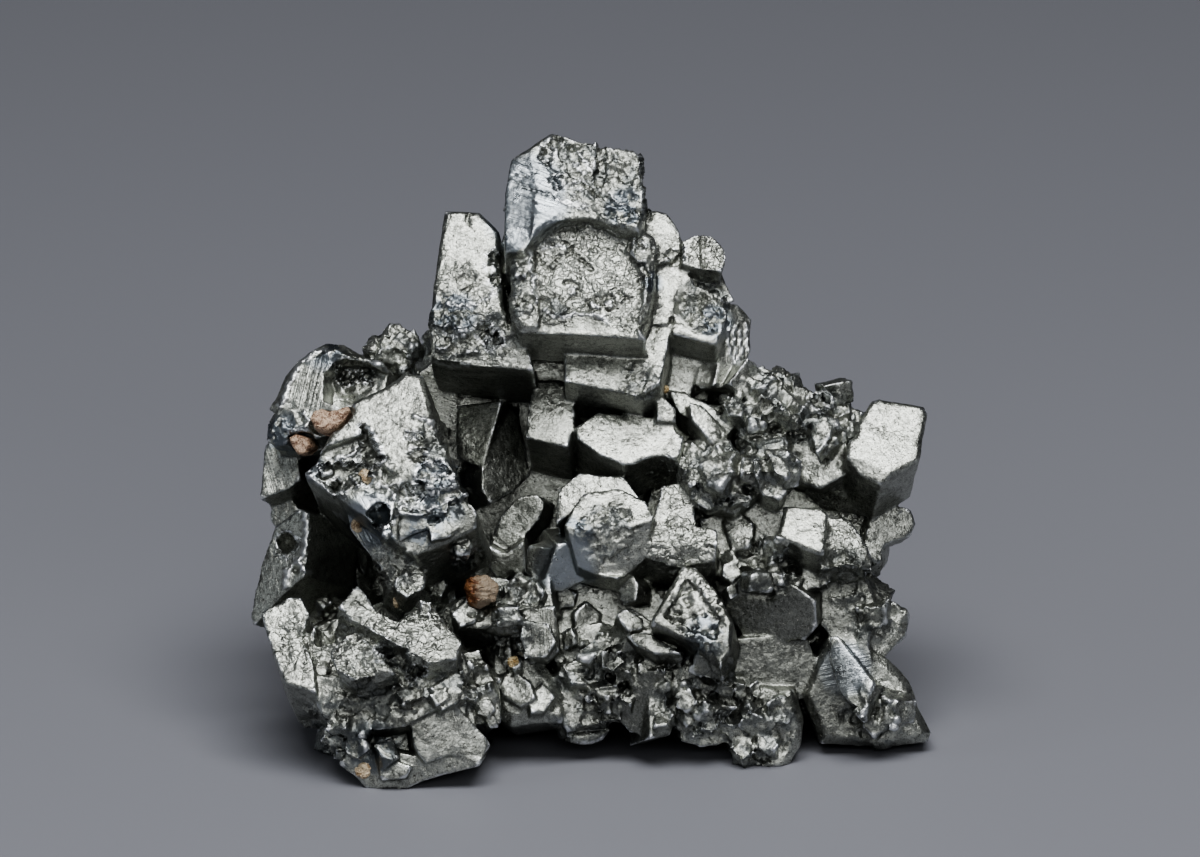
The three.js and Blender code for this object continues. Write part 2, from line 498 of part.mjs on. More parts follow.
// The overhanging lower right, with its two feet.
const LOWER_RIGHT = [
  {
    name: "dark pentagon", depth: -3, up: -18, side: -10, thick: 8,
    outline: [[13.0, -15.2], [17.8, -14.6], [21.5, -17.2], [21.7, -19.8], [20.5, -21.2], [14.5, -21.2],
      [12.5, -18.2]],
  },
  {
    name: "right ridge", depth: -1.5, up: 2, side: -4, thick: 9,
    outline: [[21.3, -15.2], [24.5, -14.0], [26.8, -15.0], [27.5, -17.2], [26.8, -21.2], [27.2, -23.2],
      [25.0, -22.2], [23.0, -20.8], [21.6, -19.2]],
  },
  {
    name: "right knob", depth: 0, up: 5, side: 15, thick: 7,
    outline: [[27.0, -16.0], [29.7, -17.6], [31.0, -18.8], [30.7, -20.7], [28.7, -22.7], [27.0, -22.0],
      [26.4, -19.2]],
  },
  {
    name: "right foot", depth: -1.5, up: -3, side: 5, thick: 10, edge: 0.8,
    outline: [[22.9, -20.8], [27.0, -22.2], [29.0, -23.2], [30.9, -25.3], [31.9, -28.0], [33.2, -30.4],
      [32.8, -31.4], [29.9, -31.8], [25.8, -31.8], [22.2, -31.6], [21.2, -29.0], [20.1, -26.6],
      [21.2, -23.7]],
  },
  {
    name: "striated blade", depth: -4.5, up: 15, side: -15, thick: 4.5,
    outline: [[22.9, -20.7], [23.7, -20.7], [27.3, -25.3], [26.1, -28.7], [23.9, -26.3], [22.9, -23.2]],
  },
  {
    name: "foot chip", depth: -3.7, up: 0, side: 10, thick: 3.5,
    outline: [[26.2, -28.4], [28.2, -26.8], [29.6, -26.8], [29.7, -28.5], [27.5, -30.9], [26.2, -30.0]],
  },
  {
    name: "middle foot", depth: -4, up: -6, side: 0, thick: 11, edge: 0.8,
    outline: [[13.0, -27.2], [16.0, -26.0], [19.3, -26.1], [20.4, -29.4], [20.0, -31.8], [18.5, -34.2],
      [16.1, -34.8], [13.4, -33.8], [12.0, -30.2]],
  },
  {
    name: "spongy shield", depth: -9, up: 20, side: -5, thick: 8, edge: 0.35,
    outline: [[8.1, -13.6], [9.6, -13.7], [11.5, -16.1], [13.3, -19.2], [13.0, -22.2], [12.0, -24.0],
      [11.2, -23.2], [10.3, -21.7], [5.0, -19.5], [5.2, -18.7], [7.4, -14.9]],
    hollows: [{ deep: 0.6, outline: [[8.6, -14.9], [9.6, -15.6], [11.8, -18.8], [11.6, -21.0], [6.4, -18.8],
      [7.8, -16.4]] }],
  },
  {
    name: "dark saddle", depth: -2, up: -5, side: 5, thick: 8,
    outline: [[12.0, -21.0], [20.6, -20.6], [22.0, -24.0], [20.4, -27.0], [13.0, -28.4], [11.0, -24.8]],
  },
];

// The broken lower middle, which arches over the surface between the feet.
const LOWER_MIDDLE = [
  {
    name: "thin plate", depth: -5, up: 35, side: 0, thick: 4,
    outline: [[2.0, -18.1], [3.2, -17.9], [6.0, -19.7], [8.1, -22.6], [5.5, -22.2], [2.5, -20.2]],
  },
  {
    name: "dark triangle", depth: -5, up: -12, side: -18, thick: 8,
    outline: [[3.8, -24.2], [6.6, -24.0], [6.8, -27.2], [5.2, -30.8], [2.8, -30.3], [1.8, -29.2],
      [2.2, -26.2]],
  },
  {
    name: "triangle's bright edge", depth: -5.4, up: 10, side: 25, thick: 5,
    outline: [[4.9, -27.2], [6.4, -26.2], [7.6, -29.4], [7.3, -30.4], [5.0, -30.9]],
  },
  {
    name: "dark crumbled mass", depth: -4, up: -8, side: 5, thick: 9,
    outline: [[6.2, -21.6], [9.0, -22.4], [12.0, -23.2], [13.4, -26.2], [12.6, -31.6], [10.0, -31.9],
      [8.0, -31.2], [6.6, -27.2]],
  },
  {
    name: "striated block", depth: -7.5, up: 5, side: 0, thick: 6,
    outline: [[-7.7, -17.8], [-4.4, -17.6], [-4.1, -22.2], [-5.2, -23.2], [-7.0, -22.7], [-7.5, -20.6]],
  },
  {
    name: "rounded hump", depth: -5, up: 8, side: -5, thick: 9, edge: 1,
    outline: [[-11.3, -19.5], [-8.0, -18.8], [-6.6, -22.2], [-4.0, -25.6], [-4.0, -29.0], [-9.0, -29.6],
      [-10.4, -28.7], [-11.5, -24.2]],
  },
  {
    name: "central crumbled mass", depth: -4, up: 8, side: 0, thick: 9,
    outline: [[-4.7, -20.8], [0, -19.2], [3.4, -20.8], [2.7, -26.2], [0.5, -29.6], [-1.5, -29.8],
      [-3.3, -30.2], [-4.2, -27.2]],
  },
  {
    name: "arch cube", depth: -3, up: 0, side: 12, thick: 5,
    outline: [[-4.4, -26.8], [-1.0, -26.0], [1.4, -29.4], [0.2, -30.9], [-1.5, -31.4], [-3.3, -30.8]],
  },
  {
    name: "hump's left neighbour", depth: -8, up: 8, side: 10, thick: 9,
    outline: [[-15.2, -22.5], [-12.0, -22.0], [-10.0, -26.2], [-9.8, -29.4], [-13.0, -29.4],
      [-15.5, -26.2]],
  },
  {
    name: "brown-grey grain bed", depth: -7.5, up: 20, side: -5, thick: 6,
    outline: [[-15.1, -18.1], [-13.8, -16.7], [-11.4, -16.6], [-8.6, -17.9], [-9.4, -19.6], [-13.9, -20.0]],
  },
  {
    name: "middle bridge", depth: -2, up: 12, side: 0, thick: 9,
    outline: [[-12.0, -14.6], [-5.0, -15.6], [4.0, -14.0], [6.4, -17.2], [4.6, -21.2], [-4.0, -21.6],
      [-10.0, -20.0]],
  },
  {
    name: "bridge cube", depth: -4.5, up: 15, side: -15, thick: 6,
    outline: [[-8.2, -15.2], [-5.0, -15.0], [-4.6, -18.2], [-7.6, -18.6], [-9.2, -16.8]],
  },
];

// The massive inside of the cluster, which every crystal grows from.
const CORE = [
  {
    name: "massive core", depth: 7, up: 0, side: 0, thick: 10,
    outline: [[-8, 26], [2.5, 25.5], [3, 19], [7, 17], [10.5, 16], [12, 11], [11, 3], [24, 1], [29, 0],
      [28.5, -4], [26, -8], [28, -10], [25, -14], [26, -20], [28, -24], [29, -27], [22, -27.5],
      [20.4, -24.5], [18, -27.5], [12, -28.5], [3, -27.5], [-8, -27], [-14, -28.5], [-24, -30],
      [-27, -26], [-31, -21], [-32, -10], [-31, -2], [-30, 4], [-26, 6.5], [-19, 5], [-15, 8],
      [-14.5, 19], [-10, 18]],
  },
  {
    name: "tower core", depth: 2.5, up: 10, side: 0, thick: 10,
    outline: [[-8, 26], [2.5, 25.5], [3, 19], [7, 17], [9.5, 15.5], [11, 11], [9, 3], [0, 3], [-9, 5],
      [-15, 8], [-14, 19], [-10, 18]],
  },
  {
    name: "right core", depth: 4, up: 0, side: 5, thick: 10,
    outline: [[8, 3], [24, 0.5], [29, 0], [28.5, -4], [26, -8], [28, -10], [25, -14], [24, -19], [20.6, -23],
      [12, -27], [6, -22], [4, -10]],
  },
  {
    name: "lower core", depth: 2, up: -5, side: 0, thick: 10,
    outline: [[-29, -20], [-16, -15], [-12, -17], [8, -16], [10, -27.5], [3, -27.5], [-8, -26.5],
      [-14, -28.5], [-24, -31], [-27, -26]],
  },
];

// Rough crusts of small lumps.
const CRUSTS = [
  { at: [-19.6, 3, 7.4], spread: [2.0, 1, 0.8], count: 3, size: 2.6, seed: 21 },
  { at: [16.4, 1.5, 3.0], spread: [2.2, 1, 1.8], count: 5, size: 2.8, seed: 22 },
  { at: [22.4, 2, 1.4], spread: [2.0, 1, 1.4], count: 4, size: 2.6, seed: 23 },
  { at: [11.8, -2.4, -3.8], spread: [2.2, 0.8, 1.8], count: 4, size: 3.2, seed: 24 },
  { at: [16.8, -3, -4.0], spread: [1.4, 0.8, 1.8], count: 3, size: 2.8, seed: 25 },
  { at: [17.2, -1.5, -14.4], spread: [5.0, 0.8, 1.0], count: 4, size: 3.0, seed: 26 },
  { at: [0.2, -3.6, -24.4], spread: [3.2, 1, 3.2], count: 3, size: 3.4, seed: 27 },
  { at: [10.4, -3.6, -27.0], spread: [2.6, 1, 3.2], count: 3, size: 3.4, seed: 28 },
  { at: [-12.6, -7, -27.0], spread: [1.4, 1, 2.0], count: 3, size: 2.6, seed: 29 },
];

const DISPLAY_SIDE = [
  ...TOP_CRYSTALS, ...MIDDLE_CRYSTALS, ...LEFT_CRYSTALS, ...LEFT_FOOT, ...RIGHT_CRYSTALS,
  ...LOWER_RIGHT, ...LOWER_MIDDLE,
];

// What the display side hides from a viewer in front of it. The cubes of the rear stay within this outline.
const HIDDEN_BEHIND = [
  [-8.6, 26.6], [-4.9, 29.2], [3.6, 27.2], [4, 21.8], [6.4, 21.4], [8, 19.2], [11, 19], [12.4, 17],
  [12, 15], [13.6, 12], [15, 10.6], [14.6, 6.6], [16, 5.8], [18, 4.7], [19.6, 2.7], [22, 3.6],
  [25, 2.2], [27.6, 2.7], [32, 2], [31.6, -3], [28, -5], [27.6, -8.2], [30.8, -8.6], [31, -10.6],
  [28, -12.6], [27, -15.6], [30.6, -18.8], [30.2, -20.6], [28.4, -23], [31.4, -28], [32.2, -31],
  [22, -31], [20.8, -26], [19.6, -24.8], [18.8, -26], [19.2, -31], [12, -31], [4, -29.6],
  [-4, -29.8], [-9, -28.4], [-12, -32], [-24, -34], [-28.6, -27], [-31, -25], [-33.4, -18.6],
  [-34, -18.4], [-33.2, -12.8], [-32.4, -9.2], [-33.4, -7], [-33, -1.6], [-33, 0.4], [-32.4, 2.8],
  [-30.2, 6.6], [-27.8, 8.6], [-22, 8.4], [-17.4, 8.6], [-16.4, 12.8], [-15.8, 17.3], [-15, 21.4],
  [-12.3, 21.3], [-9.8, 19],
];

function isInside(outline, x, z) {
  let inside = false;
  for (let i = 0, j = outline.length - 1; i < outline.length; j = i++) {
    const [xi, zi] = outline[i];
    const [xj, zj] = outline[j];
    if (zi > z !== zj > z && x < ((xj - xi) * (z - zi)) / (zj - zi) + xi) inside = !inside;
  }
  return inside;
}

// The rear and flanks: cubes grown nearly parallel to one another over the back of the core.
const REAR = {
  seed: 71,
  lean: [0.5, 0.35, 0.3],
  jitter: 0.22,
  smallest: 4,
  places: [
    { at: [-24, 11, 0], edge: 13 }, { at: [-13, 16, 3], edge: 15 }, { at: [-2, 14, 14], edge: 14 },
    { at: [-9, 11, 13], edge: 12 }, { at: [6, 10, 8], edge: 13 }, { at: [-2, 10, 20], edge: 12 },
    { at: [10, 15, -2], edge: 14 }, { at: [22, 10, -5], edge: 12 }, { at: [-3, 21, -4], edge: 14 },
    { at: [-23, 16, -12], edge: 13 }, { at: [18, 18, -13], edge: 13 }, { at: [-13, 22, -13], edge: 12 },
    { at: [6, 22, -14], edge: 12 }, { at: [23, 12, -14], edge: 10 },
    { at: [-25, 10, -20], edge: 12 }, { at: [-15, 17, -22], edge: 13 }, { at: [-3, 20, -20], edge: 11 },
    { at: [18, 16, -22], edge: 12 }, { at: [24, 10, -22], edge: 10 }, { at: [8, 15, -22], edge: 12 },
  ],
};

function rearCubes({ seed, lean, jitter, smallest, places }) {
  const random = randomSource(seed);
  const sway = () => jitter * either(random);
  return places.flatMap(({ at, edge }) => {
    const turn = new THREE.Euler(lean[0] + sway(), lean[1] + sway(), lean[2] + sway());
    const place = new THREE.Matrix4().makeRotationFromEuler(turn).setPosition(...at);
    const [wide, high] = [between(random, 0.8, 1.2), between(random, 0.8, 1.2)];
    for (let size = edge; size > smallest; size *= SHRINK_STEP) {
      const cube = new THREE.BoxGeometry(size * wide, size, size * high).applyMatrix4(place);
      const corners = cube.getAttribute("position");
      const hidden = Array.from({ length: corners.count }, (_, i) => i).every((i) =>
        isInside(HIDDEN_BEHIND, corners.getX(i), corners.getZ(i)),
      );
      if (hidden) return [solidOf(cube)];
    }
    return [];
  });
}

// The small brown grains, each lying in a socket of the cluster that clears it all round.
const GRAINS = [
  {
    name: "brown_blade", colour: 0xa9714b, depth: -7.9, up: 15, side: -8, thick: 2.8, edge: 0.3,
    outline: [[-29.0, 1.1], [-28.6, 1.8], [-27.8, 2.1], [-27.0, 1.8], [-26.2, 1.9], [-25.2, 2.4],
      [-24.9, 1.9], [-25.4, 1.0], [-26.2, 0.2], [-27.2, -0.2], [-28.4, 0.1]],
  },
  {
    name: "brown_wedge", colour: 0x9a6a4a, depth: -5.2, up: 5, side: -15, thick: 2.6, edge: 0.25,
    outline: [[-31.1, -0.9], [-30.4, -0.5], [-29.1, -0.9], [-28.7, -1.8], [-29.4, -2.5], [-30.2, -2.6],
      [-30.8, -1.8]],
  },
  {
    name: "amber_grain", colour: 0x8a4f25, at: [-11.9, -8.0, -16.1], size: [3.4, 3.2, 3.2], seed: 41,
    detail: 1, rough: 0.1,
  },
];

function grainSolid(grain, clearance = 0) {
  if (grain.at) {
    return lump({ ...grain, size: grain.size.map((width) => width + clearance * SOCKET_WIDENING) });
  }
  const plane = facePlane(grain.outline, grain);
  return prism(grain.outline, plane, grain.thick + 2 * clearance, grain.edge, clearance, clearance);
}

const grown = [
  ...DISPLAY_SIDE.map(crystal),
  ...CORE.map(crystal),
  ...CRUSTS.flatMap(crust),
  ...rearCubes(REAR),
];

const standing = new THREE.Matrix4().makeRotationX(radians(-STAND_TILT));

// The one body everything has grown into. Hollows sealed inside it are filled.
function largestBody(solid) {
  return solid.decompose().reduce((most, body) => (body.volume() > most.volume() ? body : most));
}

const underFloor = solidOf(
  new THREE.BoxGeometry(CUT_SIZE, CUT_SIZE, CUT_SIZE).translate(0, 0, FLOOR - CUT_SIZE / 2),
);
const sockets = wasm.Manifold.union(GRAINS.map((grain) => grainSolid(grain, SOCKET_GAP)));
const cluster = largestBody(
  wasm.Manifold.union(grown).subtract(sockets).transform(standing.toArray()).subtract(underFloor),
);

const specimen = new THREE.Group();

function addNode(name, solid, material) {
  const mesh = new THREE.Mesh(geometryOf(solid), new THREE.MeshStandardMaterial(material));
  mesh.name = name;
  specimen.add(mesh);
}

addNode("crystal_cluster", cluster, { color: 0x8d908c, roughness: 0.45, metalness: 0.9 });
for (const grain of GRAINS) {
  const solid = grainSolid(grain).transform(standing.toArray());
  addNode(grain.name, solid, { color: grain.colour, roughness: 0.6, metalness: 0 });
}

// The origin goes to the middle of the base.
const extent = new THREE.Box3().setFromObject(specimen);
const centre = extent.getCenter(new THREE.Vector3());
for (const mesh of specimen.children) mesh.geometry.translate(-centre.x, -centre.y, -extent.min.z);

export default specimen;
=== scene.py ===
"""Acanthite pseudomorph: the looks of a free-standing cluster of intergrown, cube-like metallic crystals.

Everything is in metres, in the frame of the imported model: +Z up, the display side towards -Y. Places on the
display side are given as the viewer sees them, in millimetres right and up of the middle of the view.
"""
import math

import bmesh
import bpy
import numpy as np
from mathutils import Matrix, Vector
from mathutils.bvhtree import BVHTree


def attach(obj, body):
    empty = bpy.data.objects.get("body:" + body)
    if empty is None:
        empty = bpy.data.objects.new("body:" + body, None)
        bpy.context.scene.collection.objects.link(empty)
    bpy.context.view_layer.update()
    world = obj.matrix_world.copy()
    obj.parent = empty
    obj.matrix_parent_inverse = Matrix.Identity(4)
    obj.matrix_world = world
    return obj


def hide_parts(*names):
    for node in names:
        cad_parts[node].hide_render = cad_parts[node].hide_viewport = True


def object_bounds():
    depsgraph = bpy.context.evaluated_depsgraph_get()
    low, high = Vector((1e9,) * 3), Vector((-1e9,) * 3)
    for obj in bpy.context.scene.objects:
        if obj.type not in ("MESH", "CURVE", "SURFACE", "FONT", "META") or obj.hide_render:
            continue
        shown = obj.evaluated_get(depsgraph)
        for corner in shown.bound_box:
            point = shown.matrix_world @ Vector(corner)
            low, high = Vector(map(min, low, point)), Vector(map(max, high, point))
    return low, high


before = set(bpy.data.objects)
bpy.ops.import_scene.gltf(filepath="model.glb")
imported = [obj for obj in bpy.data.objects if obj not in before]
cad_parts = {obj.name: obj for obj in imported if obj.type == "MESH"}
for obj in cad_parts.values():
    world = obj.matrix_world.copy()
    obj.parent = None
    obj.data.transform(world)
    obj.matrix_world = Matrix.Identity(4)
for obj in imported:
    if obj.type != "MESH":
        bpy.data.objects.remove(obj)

CAD_BOUNDS = [list(corner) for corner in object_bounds()]

MM = 0.001
VIEW_HEIGHT = 18  # degrees above the horizon
VIEW_MIDDLE = Vector((0.935, -3.7, 31.0)) * MM  # what the middle of the picture shows
PICTURE_WIDTH = 120 * MM  # as much of the view's own plane as the picture takes in
CAMERA_DISTANCE = 2.0
SENSOR_WIDTH = 36.0

COARSE_GRAIN = 0.3 * MM  # mesh size of the surface that the crust grows on
FINE_GRAIN = 0.17 * MM  # mesh size of the surface that gets its relief
SURFACE_TRIANGLES = 740_000
GRAIN_MESH = 0.11 * MM  # mesh size of the small brown grains
MERGE_DISTANCE = 1e-7
CUT_TOLERANCE = 1e-9

# In the view, in millimetres.
SIGHT_START = -60  # nearer to the viewer than any of the surface
REAR_STARTS = 9  # how far away the display side ends
REAR_BLEND = 6  # how much further its zones have given way to the rear's patches
BITE_REACH = 4  # how much nearer or further than its middle a broken place still reaches
STROKE_REACH = 3  # and a ridge or a groove


# The view

def towards_viewer():
    height = math.radians(VIEW_HEIGHT)
    return Vector((0, -math.cos(height), math.sin(height)))


def make_camera():
    data = bpy.data.cameras.new("photo_camera")
    data.sensor_width = SENSOR_WIDTH
    data.lens = SENSOR_WIDTH * CAMERA_DISTANCE / PICTURE_WIDTH
    data.clip_start = 0.1
    data.clip_end = 20
    camera = bpy.data.objects.new("photo_camera", data)
    bpy.context.scene.collection.objects.link(camera)
    camera.location = VIEW_MIDDLE + towards_viewer() * CAMERA_DISTANCE
    camera.rotation_euler = (-towards_viewer()).to_track_quat("-Z", "Y").to_euler()
    bpy.context.scene.camera = camera


def seen(points):
    """Where the viewer sees each point: millimetres right of, away from and above the middle of the view."""
    height = math.radians(VIEW_HEIGHT)
    x, y, z = ((points - np.array(VIEW_MIDDLE)) / MM).T
    away = y * math.cos(height) - z * math.sin(height)
    up = y * math.sin(height) + z * math.cos(height)
    return np.stack([x, away, up], axis=1)


def place(x, away, up):
    """The point of the model that the viewer sees at these millimetres."""
    height = math.radians(VIEW_HEIGHT)
    y = away * math.cos(height) + up * math.sin(height)
    z = up * math.cos(height) - away * math.sin(height)
    return VIEW_MIDDLE + Vector((x, y, z)) * MM


# Zones of the display side, each a list of (x, up, radius) as the viewer sees them, in millimetres

ZONES = {
    # Faces with low worm-like marks.
    "wormy": [
        (-1.2, 16.4, 6.2), (3, 12.2, 3.4), (-13.4, 10.4, 4), (-10.6, 8.4, 2.6), (8, -11.6, 3.6),
        (-20, -19.6, 5.6), (-29.8, -21.6, 3.2), (-24, -22.8, 3.4), (10.6, 12, 2.6), (10.8, 17.6, 2.2),
        (7.6, -5.2, 3.2), (24.6, -10.8, 2.8), (2.8, 16, 3.6), (-4.4, 13, 3.4), (-14.6, 14.6, 2.4),
    ],
    # Rough broken faces.
    "broken": [
        (0.8, 25.2, 4.6), (3.4, 23, 2.6), (-22.6, -4.6, 2.4), (-17, -1.2, 2.2), (-16, -6.4, 3.4),
        (0.6, -10.4, 3.2), (4, 4.6, 2.2), (10.4, 12.4, 3), (-1.6, 27.6, 3.2), (2, 27, 2.6), (-7.8, 12.4, 1.6),
        (-8, 15.4, 1.4), (4.4, 17.4, 1.6), (-14.4, 9.8, 3.4), (-10.4, 9.4, 2.6), (-13.2, -12.4, 1.8),
        (-20.6, -13.8, 2.4), (-4.6, 11.6, 1.6),
    ],
    # Crumpled in small crystals.
    "crumpled": [
        (-31.8, 0.4, 2.4), (-20.4, 7.6, 2.8), (16.4, 1.4, 5.4), (22.6, 1, 3.4), (12, -4.4, 4.4),
        (17.2, -3.6, 3.2), (16.6, -13.6, 3.6), (-13.8, -25.6, 3.2), (-0.4, -24.6, 4.6), (-1.6, -28.6, 3.6),
        (9.8, -26.6, 5.4), (15.6, -29.8, 4.4), (27.4, -18, 3.8), (27.4, -28.8, 3.6), (24.6, -14.6, 3),
        (-8.6, -21.4, 3.4), (-20.6, -25.4, 4.6), (-26.4, -30.4, 4.2), (-8, -16.8, 2.6),
    ],
    # Polished, with a bluish shine.
    "polished": [
        (-7.6, 23, 5.2), (-8.6, 18.6, 1.4), (-15.4, -6.4, 3.4), (5.2, 14.6, 1.2), (-16.6, -4.6, 2.2),
        (-31.4, -0.6, 2.4), (-27.6, 8, 2.4), (2.4, 22, 2.2), (-17.6, -9.8, 2.2), (-14.6, 11.4, 2.6),
        (11.6, 10.6, 2), (-28.6, -4, 1.6), (-13.8, -13.2, 1.4), (-1.4, -13.8, 2), (-4.2, -13.8, 2.6),
        (-22.6, -9.2, 3.2), (12.2, 19.4, 2), (-2.4, -10.6, 2), (10.6, -20.6, 2.4), (24.4, -24, 3),
        (-22.6, -31.6, 3),
    ],
    # Spongy, with many small pores.
    "porous": [
        (9.4, -18, 3.4), (-24.8, 5, 2.8), (-23.2, -3, 2), (-26.6, -19.6, 2.2), (-11.6, -18.6, 2),
    ],
    # Clean faces.
    "clean": [
        (-14.6, -30.6, 3.4), (-4, -13.8, 3.8), (17.2, -18, 3.6), (24.4, -24, 3), (-7.8, 23, 5),
        (-28.8, 4.6, 2.6), (-24, -7, 2.6),
    ],
    # Darkened nearly black: tarnish, and painted shade in recesses, crevices and under overhangs.
    "tarnish_and_shade": [
        (17, -19, 6), (-4, -19.6, 4), (4.6, -21, 6), (13.6, -24.6, 5), (-12, -22, 4), (-21.6, -29, 5),
        (24.6, -16.4, 5), (21.6, -25, 4), (-12.6, -13.6, 5), (-26, -15, 3.6), (-8.6, 1, 5), (-10.6, -6.6, 5),
        (24.4, -29.6, 4), (2, -29, 5), (-24.4, 5.6, 2.6), (-5.4, 11, 1.2), (-3, 10.8, 1.3), (-0.6, 10.6, 1.2),
        (-23.6, -3.6, 2.2), (-26, -5, 2.4),
    ],
    # Crusted with tiny cubes.
    "crusted": [
        (-20.4, 7.8, 2.4), (16.4, 2, 4), (22.4, 1.4, 2.6), (12.4, -4.4, 3), (17, -3.6, 2.4),
        (17.4, -13.8, 3.2), (-0.6, -24.6, 4), (10.4, -27.2, 3.8), (-12.8, -25.8, 2.6), (-7.6, -20, 2.4),
        (27.2, -18.4, 2.6), (28.4, -29, 2), (15.6, -30.2, 2.8), (-25, -30.8, 2.4), (-10, -17.4, 2),
    ],
}

# Striated faces: (x, up, radius) as above, then the direction across the lines, right and up.
STRIATED = [
    (-7, 23.4, 4.4, (0.34, 1)),
    (-5.6, -20.2, 2.6, (1, 0.05)),
    (24.6, -24, 3, (-0.2, 1)),
    (-16.6, 4.2, 3.6, (0.3, 1)),
    (-12.8, -28.6, 2, (0.9, 0.6)),
    (-28.8, 4.4, 3.4, (1, -0.25)),
    (-32, -3.8, 3.2, (1, 0.3)),
    (13.8, 8.4, 2.6, (1, -0.1)),
    (-13.6, 5.8, 4, (0.05, 1)),
    (-33, -13.4, 4, (1, 0.2)),
    (-25, -9.4, 3.2, (0.9, 0.5)),
]

# On the rear each zone is a pattern of patches, this many millimetres apart, on this share of the surface.
PATCH_SPACING = 11
REAR_SHARE = 0.16
REAR_SHARES = {"wormy": 0.3, "broken": 0.3, "tarnish_and_shade": 0.3}

